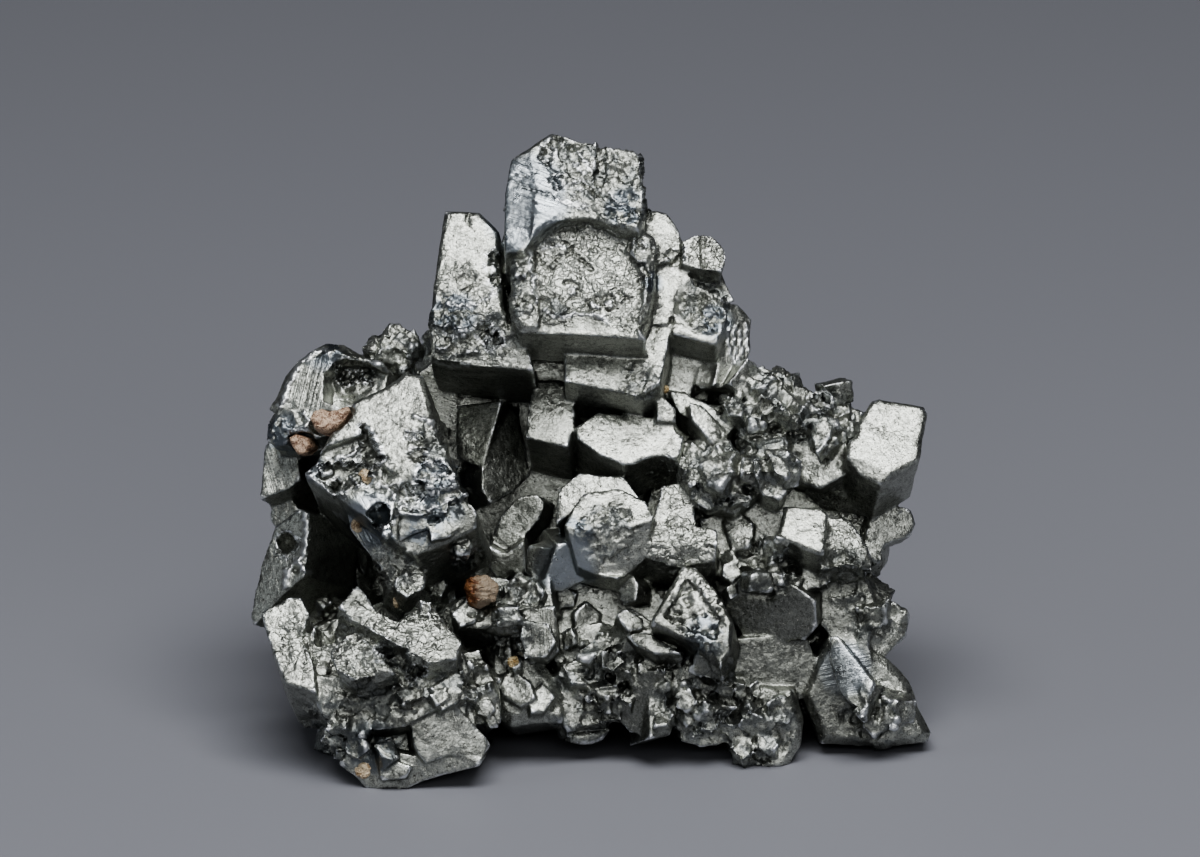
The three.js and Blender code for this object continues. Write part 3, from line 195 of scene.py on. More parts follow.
# Small crystals of the display side: the outline of the front face as the viewer sees it, how far that face
# leans up and to the right in degrees, how far it stands proud of the surface behind it, and how deep it is.
SHARDS = [
    # Lower left mass.
    ([(-27, -22.2), (-25.4, -20.6), (-23.4, -20.8), (-22, -22), (-20.4, -24.2), (-22.2, -24.6), (-24.6, -25),
     (-26.2, -24)], 34, -8, 1.1, 4),
    ([(-28.6, -17), (-27.4, -16.4), (-26.6, -17.4), (-27.6, -18.2)], 20, 10, 0.9, 3),
    ([(-29.4, -23.4), (-28, -22.4), (-26.8, -23.8), (-27.6, -25.2), (-29, -25)], 30, 6, 0.7, 3),
    ([(-25.6, -31), (-24.2, -30.4), (-23, -31.6), (-24, -32.8), (-25.4, -32.4)], 8, -12, 0.8, 3),
    ([(-27.4, -30.6), (-26.4, -30), (-25.6, -31), (-26.4, -32), (-27.2, -31.8)], 4, -20, 0.6, 3),
    ([(-22.4, -31.4), (-20.6, -30.6), (-19.8, -32.6), (-21.2, -33.4)], 36, 18, 0.9, 3),
    ([(-22, -33.6), (-20.6, -33), (-18.6, -33.6), (-19.2, -34.8), (-21.8, -35)], 6, -6, 0.8, 3),
    ([(-20.6, -26), (-18.2, -24.6), (-15.4, -25.2), (-14.8, -26.2), (-17.4, -26.8), (-19.6, -27.4)], 28, 4,
     0.6, 3),
    ([(-17, -26.4), (-15.4, -25.6), (-14.8, -26.8), (-16.2, -27.6)], 22, 10, 1, 3),
    ([(-13.4, -26.4), (-12.6, -25.4), (-11.8, -26), (-12.2, -26.9), (-13, -27)], 38, 12, 1.1, 2.5),
    ([(-12.4, -27.2), (-11, -26.9), (-10.3, -28), (-11.2, -28.8), (-12.2, -28.4)], 14, 8, 0.9, 2.5),
    ([(-11.4, -28.9), (-10.4, -28.6), (-10, -29.8), (-11, -30)], 4, 14, 0.8, 2.5),
    # Above the left mass.
    ([(-20.4, -15), (-18.8, -13.4), (-17.2, -14.4), (-17.4, -15.8), (-19.2, -16.8), (-20.2, -16.2)], 24, 8,
     1.2, 4),
    ([(-17.4, -14.8), (-16, -14.6), (-15.2, -15.6), (-15.8, -17), (-17, -16.8)], 6, -10, 0.8, 3),
    ([(-15.6, -16.2), (-14.6, -15.8), (-14.2, -17), (-15, -17.6)], 10, 16, 0.9, 3),
    ([(-18, -17), (-16.6, -17.2), (-16.8, -18.8), (-18, -18.6)], 8, 4, 0.9, 3),
    ([(-14.8, -18.4), (-13.4, -16.9), (-12, -17.6), (-12.4, -19.2), (-14, -19.8)], 26, 6, 0.8, 3),
    ([(-24.4, -15.6), (-24.8, -12.4), (-23.6, -11.8), (-22.6, -14.4), (-22.8, -16.6), (-23.8, -16.8)], 12, 24,
     0.8, 3),
    # Lower middle.
    ([(-9.4, -16.2), (-8.4, -14.8), (-7, -14.8), (-5.5, -16.2), (-6.2, -18), (-8.6, -17.8)], 20, -14, 1.4, 4),
    ([(-7.7, -19.2), (-5.1, -19.3), (-4.3, -21.2), (-5.4, -22.8), (-7.4, -23), (-7.9, -21)], 10, -6, 1.5, 4),
    ([(-10.6, -19.2), (-10.4, -18.7), (-7.6, -18.5), (-7.6, -19.1)], 30, -4, 1.2, 2.5),
    ([(-9.2, -19.9), (-8, -19.6), (-7.9, -20.9), (-9, -21)], 4, -20, 0.9, 2.5),
    ([(-10.2, -21), (-9.2, -20.3), (-8.8, -22.8), (-9.6, -23.6), (-10.4, -22.8)], 14, -28, 0.8, 3),
    ([(-9.3, -23), (-8.4, -22.4), (-7.8, -23.4), (-8.6, -24)], 44, -8, 1.2, 2),
    ([(-10.4, -24.8), (-9, -24), (-7, -25.2), (-6.4, -26.8), (-8, -27.8), (-9.8, -26.6)], 20, -18, 0.9, 4),
    ([(-7.2, -26.8), (-5.8, -25.4), (-4.4, -26.6), (-5.4, -28.2), (-7, -28.4)], 24, 6, 0.9, 3),
    ([(-4.4, -16.6), (-3.4, -15.8), (-2.2, -16.4), (-2.6, -17.8), (-4, -18)], 8, 10, 0.8, 3),
    ([(-2.6, -18.4), (-1.2, -17.2), (0.2, -18.6), (-0.6, -20.2), (-2.4, -19.8)], 6, 18, 0.7, 3),
    ([(-3.8, -20.2), (-2.8, -19.8), (-2.4, -21.6), (-3.6, -22.2)], 12, -20, 0.9, 3),
    ([(-2.6, -22.6), (-0.4, -20.8), (2.2, -20.6), (2.6, -21.2), (0.6, -21.9), (-1.4, -23.2)], 42, -14, 1.6,
     2.5),
    ([(0.2, -22.2), (2.2, -22), (2.8, -23.2), (1.4, -24.4), (0.2, -23.8)], 14, 20, 1.3, 3),
    ([(-3.8, -23.4), (-2.4, -22.8), (-1.2, -23.8), (-1.4, -25.6), (-3, -25.4)], 32, 12, 1.2, 3),
    ([(-1.2, -24.2), (0, -24), (1, -25.2), (-0.4, -26.2), (-1.6, -25.8)], 38, -12, 1.1, 3),
    ([(1.6, -18.6), (2.6, -17.9), (4.4, -19.1), (4.2, -20), (2.8, -20.2)], 26, 16, 1.4, 3),
    ([(2.6, -20.6), (4.4, -20.2), (6.6, -21.4), (8.2, -22.4), (5.4, -22.4), (3.4, -21.6)], 30, -10, 1.2, 3),
    ([(3.6, -23.2), (5.6, -22.8), (6.6, -23.8), (5.2, -24.8), (3.8, -24.4)], 16, 12, 0.9, 3),
    ([(1.4, -14.8), (2.6, -13.6), (3.8, -15.4), (3.6, -17.2), (2.2, -17.6)], 12, -30, 0.9, 3),
    ([(7, -23.4), (8.8, -22.8), (9.6, -24), (8.4, -25.2), (6.8, -24.8)], 12, -16, 0.9, 3),
    ([(9.4, -24.6), (11.2, -24), (12.2, -25.4), (10.8, -26.6), (9.6, -26)], 18, 14, 0.9, 3),
    ([(7.6, -26.4), (9, -25.9), (9.8, -27.2), (8.6, -28.4), (7.4, -27.8)], 6, -8, 0.8, 3),
    ([(13, -25.6), (13.9, -25), (14.4, -26.2), (13.6, -26.9)], 30, 10, 1.1, 2),
    ([(14.8, -25.6), (15.9, -24.9), (16, -27.2), (15.1, -26.8)], 14, 26, 1, 2),
    ([(5.6, -28), (6.4, -26.4), (7.4, -28.4), (6.8, -29.6), (5.2, -29.8)], 34, -10, 0.8, 2.5),
    ([(12.8, -31.6), (13.6, -30), (15, -30.6), (15.6, -32.4), (14, -33.2)], 30, -12, 0.9, 3),
    ([(15.6, -30.4), (17.2, -29.6), (18.4, -31.2), (17, -32.6), (15.9, -32)], 14, 18, 0.8, 3),
    ([(16.6, -27.4), (18.2, -26.6), (19.6, -28), (18.8, -29.6), (17, -29.2)], 8, 22, 0.9, 3),
    ([(10, -28.6), (11.6, -27.8), (12.6, -29.2), (11.2, -30.6), (9.8, -30.2)], 12, 4, 0.8, 3),
    # Right of the middle.
    ([(12.2, -13.6), (13.6, -13), (14.2, -14.4), (13.2, -15.4), (12.2, -14.8)], 18, 6, 1, 2.5),
    ([(12.6, -15.8), (13.6, -15.4), (13.9, -16.6), (13, -17.2)], 10, 18, 0.9, 2.5),
    ([(15, -12.4), (16.4, -10.9), (17, -12.2), (15.8, -13.4)], 30, -6, 0.9, 2.5),
    ([(12.2, -9.4), (14, -8.4), (15.4, -9.4), (15.2, -11.8), (13.2, -12.2)], 20, -10, 0.9, 3),
    ([(21, -19.8), (21.9, -19.2), (22.2, -20.6), (21.2, -21.6), (20.2, -20.8)], 22, -12, 0.9, 2),
    # Crumpled mass of the upper right.
    ([(12, 2.6), (13.2, 3.4), (14.6, 2.6), (14.2, 1.2), (12.6, 1.4)], 42, -20, 1.2, 3),
    ([(14.8, 2.6), (16.2, 2.4), (16.4, 0.2), (15.2, 0)], 32, 26, 1.3, 3),
    ([(14.6, 5), (16, 6.2), (17.6, 5.4), (16.6, 4.2), (15, 4)], 46, -8, 0.8, 3),
    ([(17.4, 4.6), (18.8, 4), (19.8, 2.4), (18.4, 2), (17, 3)], 36, 22, 0.8, 3),
    ([(13.8, 0.2), (16.4, -0.6), (18.2, -1.4), (17.8, -2), (15.4, -1.6), (13.6, -0.6)], 48, 0, 1.2, 2.5),
    ([(15, -3), (15.9, -2.6), (16.4, -3.8), (15.6, -4.9), (14.8, -4.2)], 40, -12, 1.4, 3),
    ([(16.6, -2.2), (18, -2.6), (19.2, -4.6), (18.8, -5.2), (17.4, -4.4)], 20, 24, 1.1, 3),
    ([(15.8, -5.6), (17.4, -5.2), (18.8, -6.2), (18, -7), (16.2, -6.6)], 34, 6, 1.2, 3),
    ([(20.4, 3.4), (22.2, 4.2), (23.8, 3.4), (23.6, 2), (22, 1.2), (20.6, 1.8)], 22, 0, 0.9, 3),
    ([(21, -0.2), (23.2, 0), (22.6, -1.4), (21.6, -2.6)], 34, -8, 1.2, 2.5),
    ([(23.8, 1.6), (25.2, 0.8), (25.4, -0.8), (24.2, -1.2), (23.6, 0.2)], 26, -24, 0.8, 3),
    ([(10, -3.6), (11.8, -2.6), (13.2, -4.2), (12, -5.8), (10.4, -5.2)], 44, -10, 1.2, 3),
    ([(9.2, -5.6), (10.6, -6.2), (12.4, -7.6), (10.8, -8.2), (9.2, -7.2)], 16, -4, 0.9, 3),
    ([(12.8, -5.6), (14.4, -5.2), (14.8, -7.4), (13.2, -7.8)], 18, 20, 0.9, 3),
    ([(8.8, 2.8), (10.4, 2.2), (12.2, 0.2), (13, -1.8), (11.2, -1.4), (9.2, 0.8)], 24, 16, 0.8, 3),
    # Folds and chips of the large cube.
    ([(-20, -9.2), (-17.2, -8.8), (-17.2, -10), (-18.6, -10.5), (-20, -11.2)], 6, -4, 0.7, 2),
    ([(-17, -9.6), (-14.6, -8.8), (-13.2, -9.4), (-15, -10.8), (-16.8, -11.2)], 22, 14, 0.5, 2),
    ([(-20.2, -7.4), (-18.4, -7.9), (-15.6, -7.6), (-14.4, -7), (-15.2, -8.2), (-18.2, -8.6), (-20, -8.4)],
     46, -2, 0.5, 1.6),
    ([(-17.6, -5.2), (-16.6, -4.6), (-15.2, -4.6), (-14.4, -5.4), (-15.6, -6), (-17.2, -5.9)], 40, 12, 0.4,
     2),
    ([(-21.6, -9.6), (-20.9, -9.3), (-20.5, -10.2), (-21, -10.9), (-21.7, -10.5)], 30, 10, 0.9, 2),
    ([(-25.2, -4.6), (-23.9, -4), (-23.2, -5), (-24.2, -5.6)], 34, 6, 0.5, 2),
    ([(-28.2, -3.7), (-27, -3.2), (-26.6, -4.4), (-27.8, -4.8)], 38, -10, 0.5, 2),
    # Narrow ledge under the crown cube.
    ([(-5, 20.6), (-3.8, 21.4), (-1.8, 21.7), (1, 21), (3.6, 20.6), (3.8, 20.1), (1, 20.5), (-2, 21),
     (-3.8, 20.7)], 10, 0, 0.4, 2),
    # Rough places beside the sunken plate.
    ([(3.2, 18.8), (4.6, 19.2), (5.2, 17.8), (4.6, 16.6), (3.4, 16.8), (3, 17.6)], 30, 14, 0.35, 1.5),
    ([(-4.9, 12.8), (-3.8, 12.7), (-3.4, 11.9), (-4.2, 11.2), (-4.9, 11.7)], 34, 0, 0.4, 1.5),
    ([(-8.6, 13.6), (-7.2, 13.2), (-6.6, 12), (-7.4, 11.4), (-8.6, 12.2)], 14, -14, 0.4, 1.5),
    ([(-8.6, 16.8), (-7.6, 17.2), (-7, 16.2), (-7.4, 15), (-8.5, 15.2)], 34, -6, 0.3, 1.5),
    # Lower part of the tall block.
    ([(-16.8, 11.6), (-15.2, 12), (-14.6, 10.8), (-15.6, 10), (-16.9, 10.4)], 26, -16, 0.5, 2),
    ([(-14.2, 10.6), (-13, 11), (-12.4, 9.8), (-13.6, 9.2)], 20, 12, 0.5, 2),
    ([(-16.6, 9), (-15.2, 9.4), (-14.2, 8.8), (-15.4, 8), (-16.6, 8)], 38, 4, 0.5, 2),
    ([(-13.4, 9), (-12.4, 8.6), (-11.8, 7.6), (-13.4, 7.6)], 30, -10, 0.5, 2),
    # Small crystals on the dark block at the lower left of the view's middle.
    ([(-14.4, -10.4), (-13.4, -10), (-12.9, -11.4), (-12.8, -12.6), (-14.2, -12.6)], 26, 12, 0.6, 2),
    ([(-24.6, -11.6), (-24, -11.2), (-23.2, -13.4), (-23.4, -14.8), (-24, -14.2)], 16, 30, 0.9, 2),
    # Top left, behind the large cube.
    ([(-24, 8.2), (-22.8, 9), (-21.6, 8.6), (-21.2, 7), (-23, 6.8)], 34, -4, 0.6, 3),
    ([(-21.4, 8.6), (-20, 9.8), (-18.8, 9.2), (-19.8, 7.6)], 30, 12, 0.7, 3),
    ([(-20.2, 7.4), (-18.8, 8), (-18.6, 6.6), (-19.8, 5.6)], 24, 20, 0.7, 3),
]

# Places that are broken out: the outline as the viewer sees it and how deep the step is, in millimetres.
BITES = [
    ([(-23.5, 0.7), (-22.7, -1.2), (-21.7, -2.6), (-21.9, -3.6), (-23, -4), (-24.4, -3.4), (-27.8, -3.5),
     (-28.2, -4.6), (-26.4, -6.8), (-24.4, -5.6), (-22.6, -5.2), (-24.2, -2.7)], 1.3),
    ([(-27, -5.3), (-26, -5.2), (-25.8, -6.2), (-26.5, -6.6)], 1.6),
    ([(-23, -8.6), (-21.6, -7.6), (-20.8, -8.2), (-21, -9.4), (-22.4, -9.8)], 2.6),
    ([(-19.2, -0.5), (-18, -0.5), (-17.8, -1), (-19, -1.1)], 0.5),
    ([(-18.8, -2.2), (-17.2, -2), (-17.4, -3), (-18.6, -3.4)], 0.6),
    ([(-17.6, -3.6), (-15.6, -3.4), (-14.8, -4.8), (-17, -5.2), (-18.2, -4.6)], 0.6),
    ([(-20.8, -5.8), (-18.6, -5.6), (-17.8, -7), (-19.8, -7.2)], 0.7),
    ([(-32.2, -11), (-31, -10.4), (-30.2, -11.6), (-31, -12.8), (-32, -12.4)], 1.2),
    ([(-22.1, -21.6), (-21.5, -21.6), (-21.1, -22.8), (-21.8, -23.2)], 1.2),
    ([(-19.2, -23.8), (-17.6, -23.6), (-17.4, -24.4), (-18.8, -24.8)], 1.2),
    ([(-11.2, 9.2), (-10.4, 9.6), (-9.8, 8.8), (-10.4, 8), (-11.2, 8.4)], 1),
    ([(-10.8, 15.2), (-10, 15.6), (-9.8, 14.4), (-10.6, 14)], 0.8),
    ([(-11.3, 16.6), (-10.8, 17.5), (-9.8, 17.6), (-9.8, 16.4), (-10.4, 16.2)], 1.2),
    ([(-5, 25), (-4.2, 25.2), (-4, 24.2), (-4.6, 24)], 0.7),
    ([(-5.9, 28), (-5, 28.4), (-4.6, 27), (-5.3, 26.4)], 0.6),
    ([(-5, 29.6), (-4.2, 29.7), (-4, 28.4), (-4.7, 28.2)], 0.8),
    ([(-2.6, 24.4), (-1.8, 24.6), (-1.6, 23.9), (-2.4, 23.6)], 0.5),
    ([(3.6, 18.9), (4.3, 19), (4.2, 18.1), (3.6, 18)], 0.5),
    ([(-12.2, 10.3), (-11.4, 10.4), (-10.9, 9.4), (-11.6, 8.9), (-12.2, 9.4)], 0.9),
    ([(-15.4, 9.9), (-14.6, 10), (-14.4, 9.3), (-15.2, 9)], 0.6),
    ([(-18.2, -5.4), (-17.6, -5.2), (-17.4, -6.4), (-18.2, -6.6)], 0.7),
    ([(-19.9, -5.9), (-19.2, -5.7), (-18.9, -6.6), (-19.7, -6.9)], 0.8),
    ([(-26.4, 5.9), (-25, 6.2), (-24.8, 4.6), (-26, 4.2)], 1.2),
    ([(-24.2, 6), (-22.9, 6), (-23, 4.9), (-24, 4.6)], 1),
    ([(21.4, 3.2), (22.6, 3.4), (23, 2.6), (22, 2), (21.2, 2.4)], 1),
    ([(6.6, 17.6), (8.2, 18), (8.6, 16.8), (7.2, 16.2)], 0.4),
]

# Low ridges and grooves: the line as the viewer sees it, half its width and its height, in millimetres. The
# height is below 0 for a groove.
STROKES = [
    # The sunken plate of the second cube.
    ([(-5.8, 17.9), (-4.9, 18.5), (-3.7, 18.6), (-2.9, 18.2), (-2.8, 17.6), (-3.3, 17.3)], 0.17, -0.2),
    ([(-5.6, 18.1), (-4.8, 18.2), (-3.8, 18.3), (-3.3, 17.9)], 0.2, 0.14),
    ([(-6.5, 17.4), (-6.1, 16.8), (-5.4, 16.4), (-4.9, 15.7)], 0.16, -0.16),
    ([(-4, 17.3), (-4.6, 16.8), (-4.1, 16.3), (-4.6, 15.8), (-5, 16)], 0.17, -0.2),
    ([(-2.4, 17.2), (-1.7, 16.7), (-1.1, 16.1), (-0.7, 15.8)], 0.16, -0.2),
    ([(-1.3, 16.4), (-1.6, 15.8), (-2.2, 15.3), (-1.9, 14.9)], 0.15, -0.18),
    ([(-3.6, 14.4), (-3, 14.7), (-2.3, 14.2), (-2, 13.5), (-2.4, 13), (-3.1, 13.2)], 0.17, -0.22),
    ([(-3.1, 14.2), (-2.6, 14), (-2.5, 13.5), (-2.9, 13.5)], 0.17, 0.16),
    ([(1, 13.5), (1.5, 13.9), (2, 13.6), (2.3, 13.1), (3, 12.9)], 0.15, -0.18),
    ([(0.3, 12.2), (0.4, 13), (1, 13.2), (1.4, 12.7), (1.6, 12.2), (1.1, 11.8), (0.6, 11.9)], 0.17, -0.22),
    ([(0.7, 12.5), (1.1, 12.7), (1.1, 12.3)], 0.2, 0.18),
    ([(0, 12.9), (-0.8, 13), (-1.3, 12.5), (-1.2, 11.9), (-0.6, 11.7), (0, 11.9)], 0.17, -0.22),
    ([(-0.8, 12.6), (-0.7, 12.2), (-0.3, 12.1)], 0.2, 0.16),
    ([(4.3, 15.2), (3.9, 14.5), (4.2, 14), (3.8, 13.6)], 0.15, -0.16),
    ([(2.2, 18.4), (1.9, 17.8), (2.3, 17.4)], 0.14, -0.14),
    ([(3.1, 19), (3, 17.7), (3.1, 16.9), (3.8, 16.4), (4.6, 15.8), (4.9, 15.2)], 0.17, -0.24),
    ([(-6.9, 17.6), (-7, 16.4), (-6.6, 15), (-6.6, 14), (-6.3, 12.6)], 0.24, 0.24),
    ([(-6.6, 17.2), (-6.5, 16.2), (-6.2, 15), (-6.2, 13.8), (-5.8, 12.8)], 0.2, -0.26),
    ([(-5.8, 12.9), (-5, 13), (-4.6, 13.3), (-3.8, 12.9)], 0.16, -0.18),
    ([(-5.6, 11.9), (-4.6, 11.2), (-3.4, 11.1), (-2.6, 11.5), (-1, 11.4), (0, 11.2), (0.8, 10.6)], 0.2, 0.16),
    # The tall block at its left.
    ([(-13.3, 21.7), (-13.25, 21.1), (-13.2, 20.5)], 0.13, -0.3),
    ([(-14.3, 14.9), (-13.7, 15.2), (-13, 15), (-12.7, 14.8), (-12.5, 15.2)], 0.15, -0.16),
    ([(-13.7, 13.6), (-13.3, 14.1), (-12.5, 14.3), (-11.8, 14.7)], 0.16, -0.16),
    ([(-15, 12.5), (-14, 12.2), (-12.8, 12.3), (-11.4, 13), (-10.4, 13.6)], 0.2, 0.14),
    ([(-15.6, 9.6), (-14.6, 9.2), (-13.6, 9.9), (-12.6, 9.8)], 0.22, 0.22),
    # The crown cube.
    ([(-9, 24.9), (-7.4, 24.2), (-5.8, 23.5), (-4.4, 23.2)], 0.13, -0.12),
    ([(-8.8, 24.4), (-7, 23.9), (-5.2, 23.4)], 0.12, -0.1),
    ([(-8.6, 25.4), (-7.4, 25.2), (-6.2, 25.8)], 0.12, -0.09),
    ([(-4.2, 22.8), (-2.4, 22.5), (-1.2, 22.3)], 0.14, 0.14),
    ([(-3.6, 22.4), (-2, 22), (-1.2, 21.9)], 0.13, 0.12),
    ([(-6, 29), (-5.6, 28), (-5.9, 27), (-5.2, 26.2), (-4.6, 25.4)], 0.24, -0.24),
    ([(-3.4, 27.4), (-2.4, 26.2), (-1.6, 25.4)], 0.2, 0.2),
    ([(-2.6, 27.8), (-1.6, 26.8), (-0.9, 25.8)], 0.2, 0.18),
    ([(0.9, 23.6), (1.6, 22.6), (2.4, 22.4)], 0.2, 0.2),
    ([(-0.8, 23.6), (0, 22.6), (0.6, 21.8)], 0.18, -0.2),
    # The large cube at the left.
    ([(-18.4, 1.2), (-17.4, 0.9), (-16.6, 0.5), (-16.4, -0.4)], 0.18, 0.16),
    ([(-19.4, -0.6), (-18.4, -1.2), (-17.4, -1.6), (-16.4, -1.4)], 0.2, -0.26),
    ([(-19, -2.6), (-18, -3.2), (-17.4, -2.8), (-16.6, -3.4)], 0.22, -0.26),
    ([(-19.6, -7.6), (-18.4, -7.9), (-17, -8), (-15.4, -7.4), (-14.8, -6.8)], 0.2, 0.26),
    ([(-19.4, -8.1), (-18, -8.4), (-16.6, -8.4), (-15, -8)], 0.14, -0.2),
    ([(-17.6, -5.1), (-16.6, -4.6), (-15.2, -4.6), (-14.6, -5.3)], 0.16, 0.2),
    ([(-17.8, -6.3), (-16.4, -6.4), (-15, -5.9), (-14.4, -5.8)], 0.16, 0.2),
    ([(-22.2, -5.6), (-20.8, -6), (-20.4, -6.8), (-19.8, -7.6), (-20.2, -8.6)], 0.2, 0.2),
    ([(-29, -4.6), (-28.2, -5.4), (-27.2, -6), (-26.6, -6.6), (-25.4, -6.2)], 0.2, 0.22),
    ([(-26.6, -8.4), (-25.8, -8.8), (-25.2, -9.4)], 0.16, 0.14),
    ([(-26.2, -2.9), (-24.8, -2.7), (-24, -2.2)], 0.2, 0.2),
    # The upper left block, its neighbours and the slab below.
    ([(-28.6, 7.6), (-29.4, 7), (-30.2, 6.6), (-30.5, 5.4), (-31.2, 4.2), (-31.4, 3.2), (-31.9, 2.4)], 0.3,
     0.3),
    ([(-29.2, 7.9), (-28.2, 7.8), (-27.4, 7.9), (-27, 7.4)], 0.2, 0.2),
    ([(-29.6, 1.6), (-29, 0.8), (-29.4, 0.2), (-30.2, 0.2)], 0.22, 0.26),
    ([(-29.5, -8.5), (-29.3, -10), (-29.5, -12), (-30, -13.4), (-31.2, -14.2), (-31.5, -15.8)], 0.3, 0.3),
    ([(-30.2, -13), (-29.8, -14), (-28.9, -14.4)], 0.26, 0.26),
    ([(-13, 6.4), (-14.8, 6.2), (-16.6, 6.6)], 0.14, 0.1),
    # The ribbed block at the right.
    ([(12.9, 10), (12.8, 9), (13.1, 7.6), (13.6, 6.4)], 0.2, 0.24),
    ([(13.5, 10), (13.4, 8.8), (13.7, 7.4), (14, 6.4)], 0.18, 0.22),
    ([(14.1, 9.8), (14.1, 8.6), (14.3, 7.4)], 0.18, 0.22),
    ([(14.7, 10.4), (14.7, 9), (14.8, 7.8)], 0.18, 0.2),
]


def soft_step(value, low, high):
    t = np.clip((value - low) / (high - low), 0, 1)
    return t * t * (3 - 2 * t)


def vertex_places(mesh):
    points = np.empty(len(mesh.vertices) * 3, dtype=np.float32)
    mesh.vertices.foreach_get("co", points)
    return points.reshape(-1, 3).astype(np.float64)


def set_vertex_places(mesh, points):
    mesh.vertices.foreach_set("co", points.astype(np.float32).ravel())
    mesh.update()


def store(mesh, name, values):
    layer = mesh.attributes.get(name) or mesh.attributes.new(name, "FLOAT", "POINT")
    layer.data.foreach_set("value", values.astype(np.float32))


def patches(points, spacing, seed, share):
    """A smooth random pattern of patches that cover about this share of the surface."""
    random = np.random.default_rng(seed)
    wave = np.zeros(len(points))
    for _ in range(9):
        direction = random.normal(size=3)
        direction *= 2 * math.pi / (spacing * MM * np.linalg.norm(direction))
        wave += np.sin(points @ direction + random.uniform(0, 2 * math.pi))
    wave /= 3
    return soft_step(wave, 1 - 2 * share, 1.6 - 2 * share)


def spot_weight(view, x, up, radius):
    distance = np.hypot(view[:, 0] - x, view[:, 2] - up) / radius
    return 1 - soft_step(distance, 0.7, 1.1)


def mark_zones(mesh):
    """Stores how strongly each zone holds at each vertex."""
    points = vertex_places(mesh)
    view = seen(points)
    rear = soft_step(view[:, 1], REAR_STARTS, REAR_STARTS + REAR_BLEND)
    for seed, (name, spots) in enumerate(ZONES.items()):
        weight = np.zeros(len(points))
        for x, up, radius in spots:
            weight = np.maximum(weight, spot_weight(view, x, up, radius))
        share = REAR_SHARES.get(name, REAR_SHARE)
        store(mesh, name, weight * (1 - rear) + patches(points, PATCH_SPACING, seed + 1, share) * rear)
    weight = np.zeros(len(points))
    phase = np.zeros(len(points))
    for x, up, radius, across in STRIATED:
        here = spot_weight(view, x, up, radius)
        along = (view[:, 0] * across[0] + view[:, 2] * across[1]) / math.hypot(*across)
        phase = np.where(here > weight, along, phase)
        weight = np.maximum(weight, here)
    store(mesh, "striated", weight * (1 - rear))
    store(mesh, "stripe", phase)


def mark_edges(mesh, rounds=5):
    """Stores how near each vertex is to an outward edge and to an inward one."""
    points = vertex_places(mesh)
    pairs = np.empty(len(mesh.edges) * 2, dtype=np.int32)
    mesh.edges.foreach_get("vertices", pairs)
    first, second = pairs.reshape(-1, 2).T
    count = np.bincount(first, minlength=len(points)) + np.bincount(second, minlength=len(points))

    def neighbour_mean(values):
        total = np.bincount(first, values[second], len(points))
        total += np.bincount(second, values[first], len(points))
        return total / np.maximum(count, 1)

    normals = np.empty(len(points) * 3, dtype=np.float32)
    mesh.vertices.foreach_get("normal", normals)
    normals = normals.reshape(-1, 3)
    bend = sum((points[:, i] - neighbour_mean(points[:, i])) * normals[:, i] for i in range(3)) / FINE_GRAIN
    for _ in range(rounds):
        bend = neighbour_mean(bend)
    store(mesh, "edge", soft_step(bend, 0.03, 0.11))
    store(mesh, "hollow", soft_step(-bend, 0.02, 0.10))


# Crystals and broken places of the display side

def facing(lean_up, lean_side):
    """The direction of a face that leans up and to the right: right, away and up of the viewer."""
    up = math.radians(lean_up)
    side = math.radians(lean_side)
    return np.array([math.sin(side) * math.cos(up), -math.cos(side) * math.cos(up), math.sin(up)])


def first_hit(surface, x, up):
    """How far away the viewer first sees the surface there."""
    start = place(x, SIGHT_START, up)
    hit = surface.ray_cast(start, -towards_viewer())[0]
    return None if hit is None else (hit - start).length / MM + SIGHT_START


def shard_mesh(surface, outline, lean_up, lean_side, proud, deep):
    """One small crystal that grows out of the surface behind it and narrows a little towards its root."""
    points = np.array(outline)
    middle = points.mean(axis=0)
    away = first_hit(surface, *middle)
    if away is None:
        return None
    normal = facing(lean_up, lean_side)
    across = points - middle
    depth = away - proud - (across @ normal[[0, 2]]) / normal[1]
    front = np.column_stack([points[:, 0], depth, points[:, 1]])
    centre = np.array([middle[0], away - proud, middle[1]])
    back = centre + (front - centre) * 0.8 - normal * deep
    count = len(front)
    work = bmesh.new()
    corners = [work.verts.new(place(*point)) for point in np.vstack([front, back])]
    work.faces.new(corners[:count])
    work.faces.new(corners[count:][::-1])
    for i in range(count):
        j = (i + 1) % count
        work.faces.new([corners[i], corners[count + i], corners[count + j], corners[j]])
    bmesh.ops.recalc_face_normals(work, faces=work.faces[:])
    bmesh.ops.triangulate(work, faces=work.faces[:])
    mesh = bpy.data.meshes.new("shard")
    work.to_mesh(mesh)
    work.free()
    return mesh


def inside_outline(x, up, outline):
    """Which of the points lie inside the outline."""
    inside = np.zeros(len(x), dtype=bool)
    for (x1, up1), (x2, up2) in zip(outline, outline[1:] + outline[:1]):
        if up1 != up2:
            crosses = (up1 > up) != (up2 > up)
            inside ^= crosses & (x < (x2 - x1) * (up - up1) / (up2 - up1) + x1)
    return inside


def press_bites(mesh, surface):
    """Pushes the broken places in, with ragged borders."""
    points = vertex_places(mesh)
    view = seen(points)
    viewer = np.array(towards_viewer())
    for outline, deep in BITES:
        middle = np.mean(outline, axis=0)
        away = first_hit(surface, *middle)
        if away is None:
            continue
        near = np.nonzero(np.abs(view[:, 1] - away) < BITE_REACH)[0]
        x, _, up = view[near].T
        x = x + 0.16 * np.sin(up * 5.1 + 1) + 0.1 * np.sin(up * 11.7)
        up = up + 0.16 * np.sin(x * 5.7 + 2) + 0.1 * np.sin(x * 12.3)
        chosen = near[inside_outline(x, up, outline)]
        points[chosen] -= viewer * deep * MM
    set_vertex_places(mesh, points)


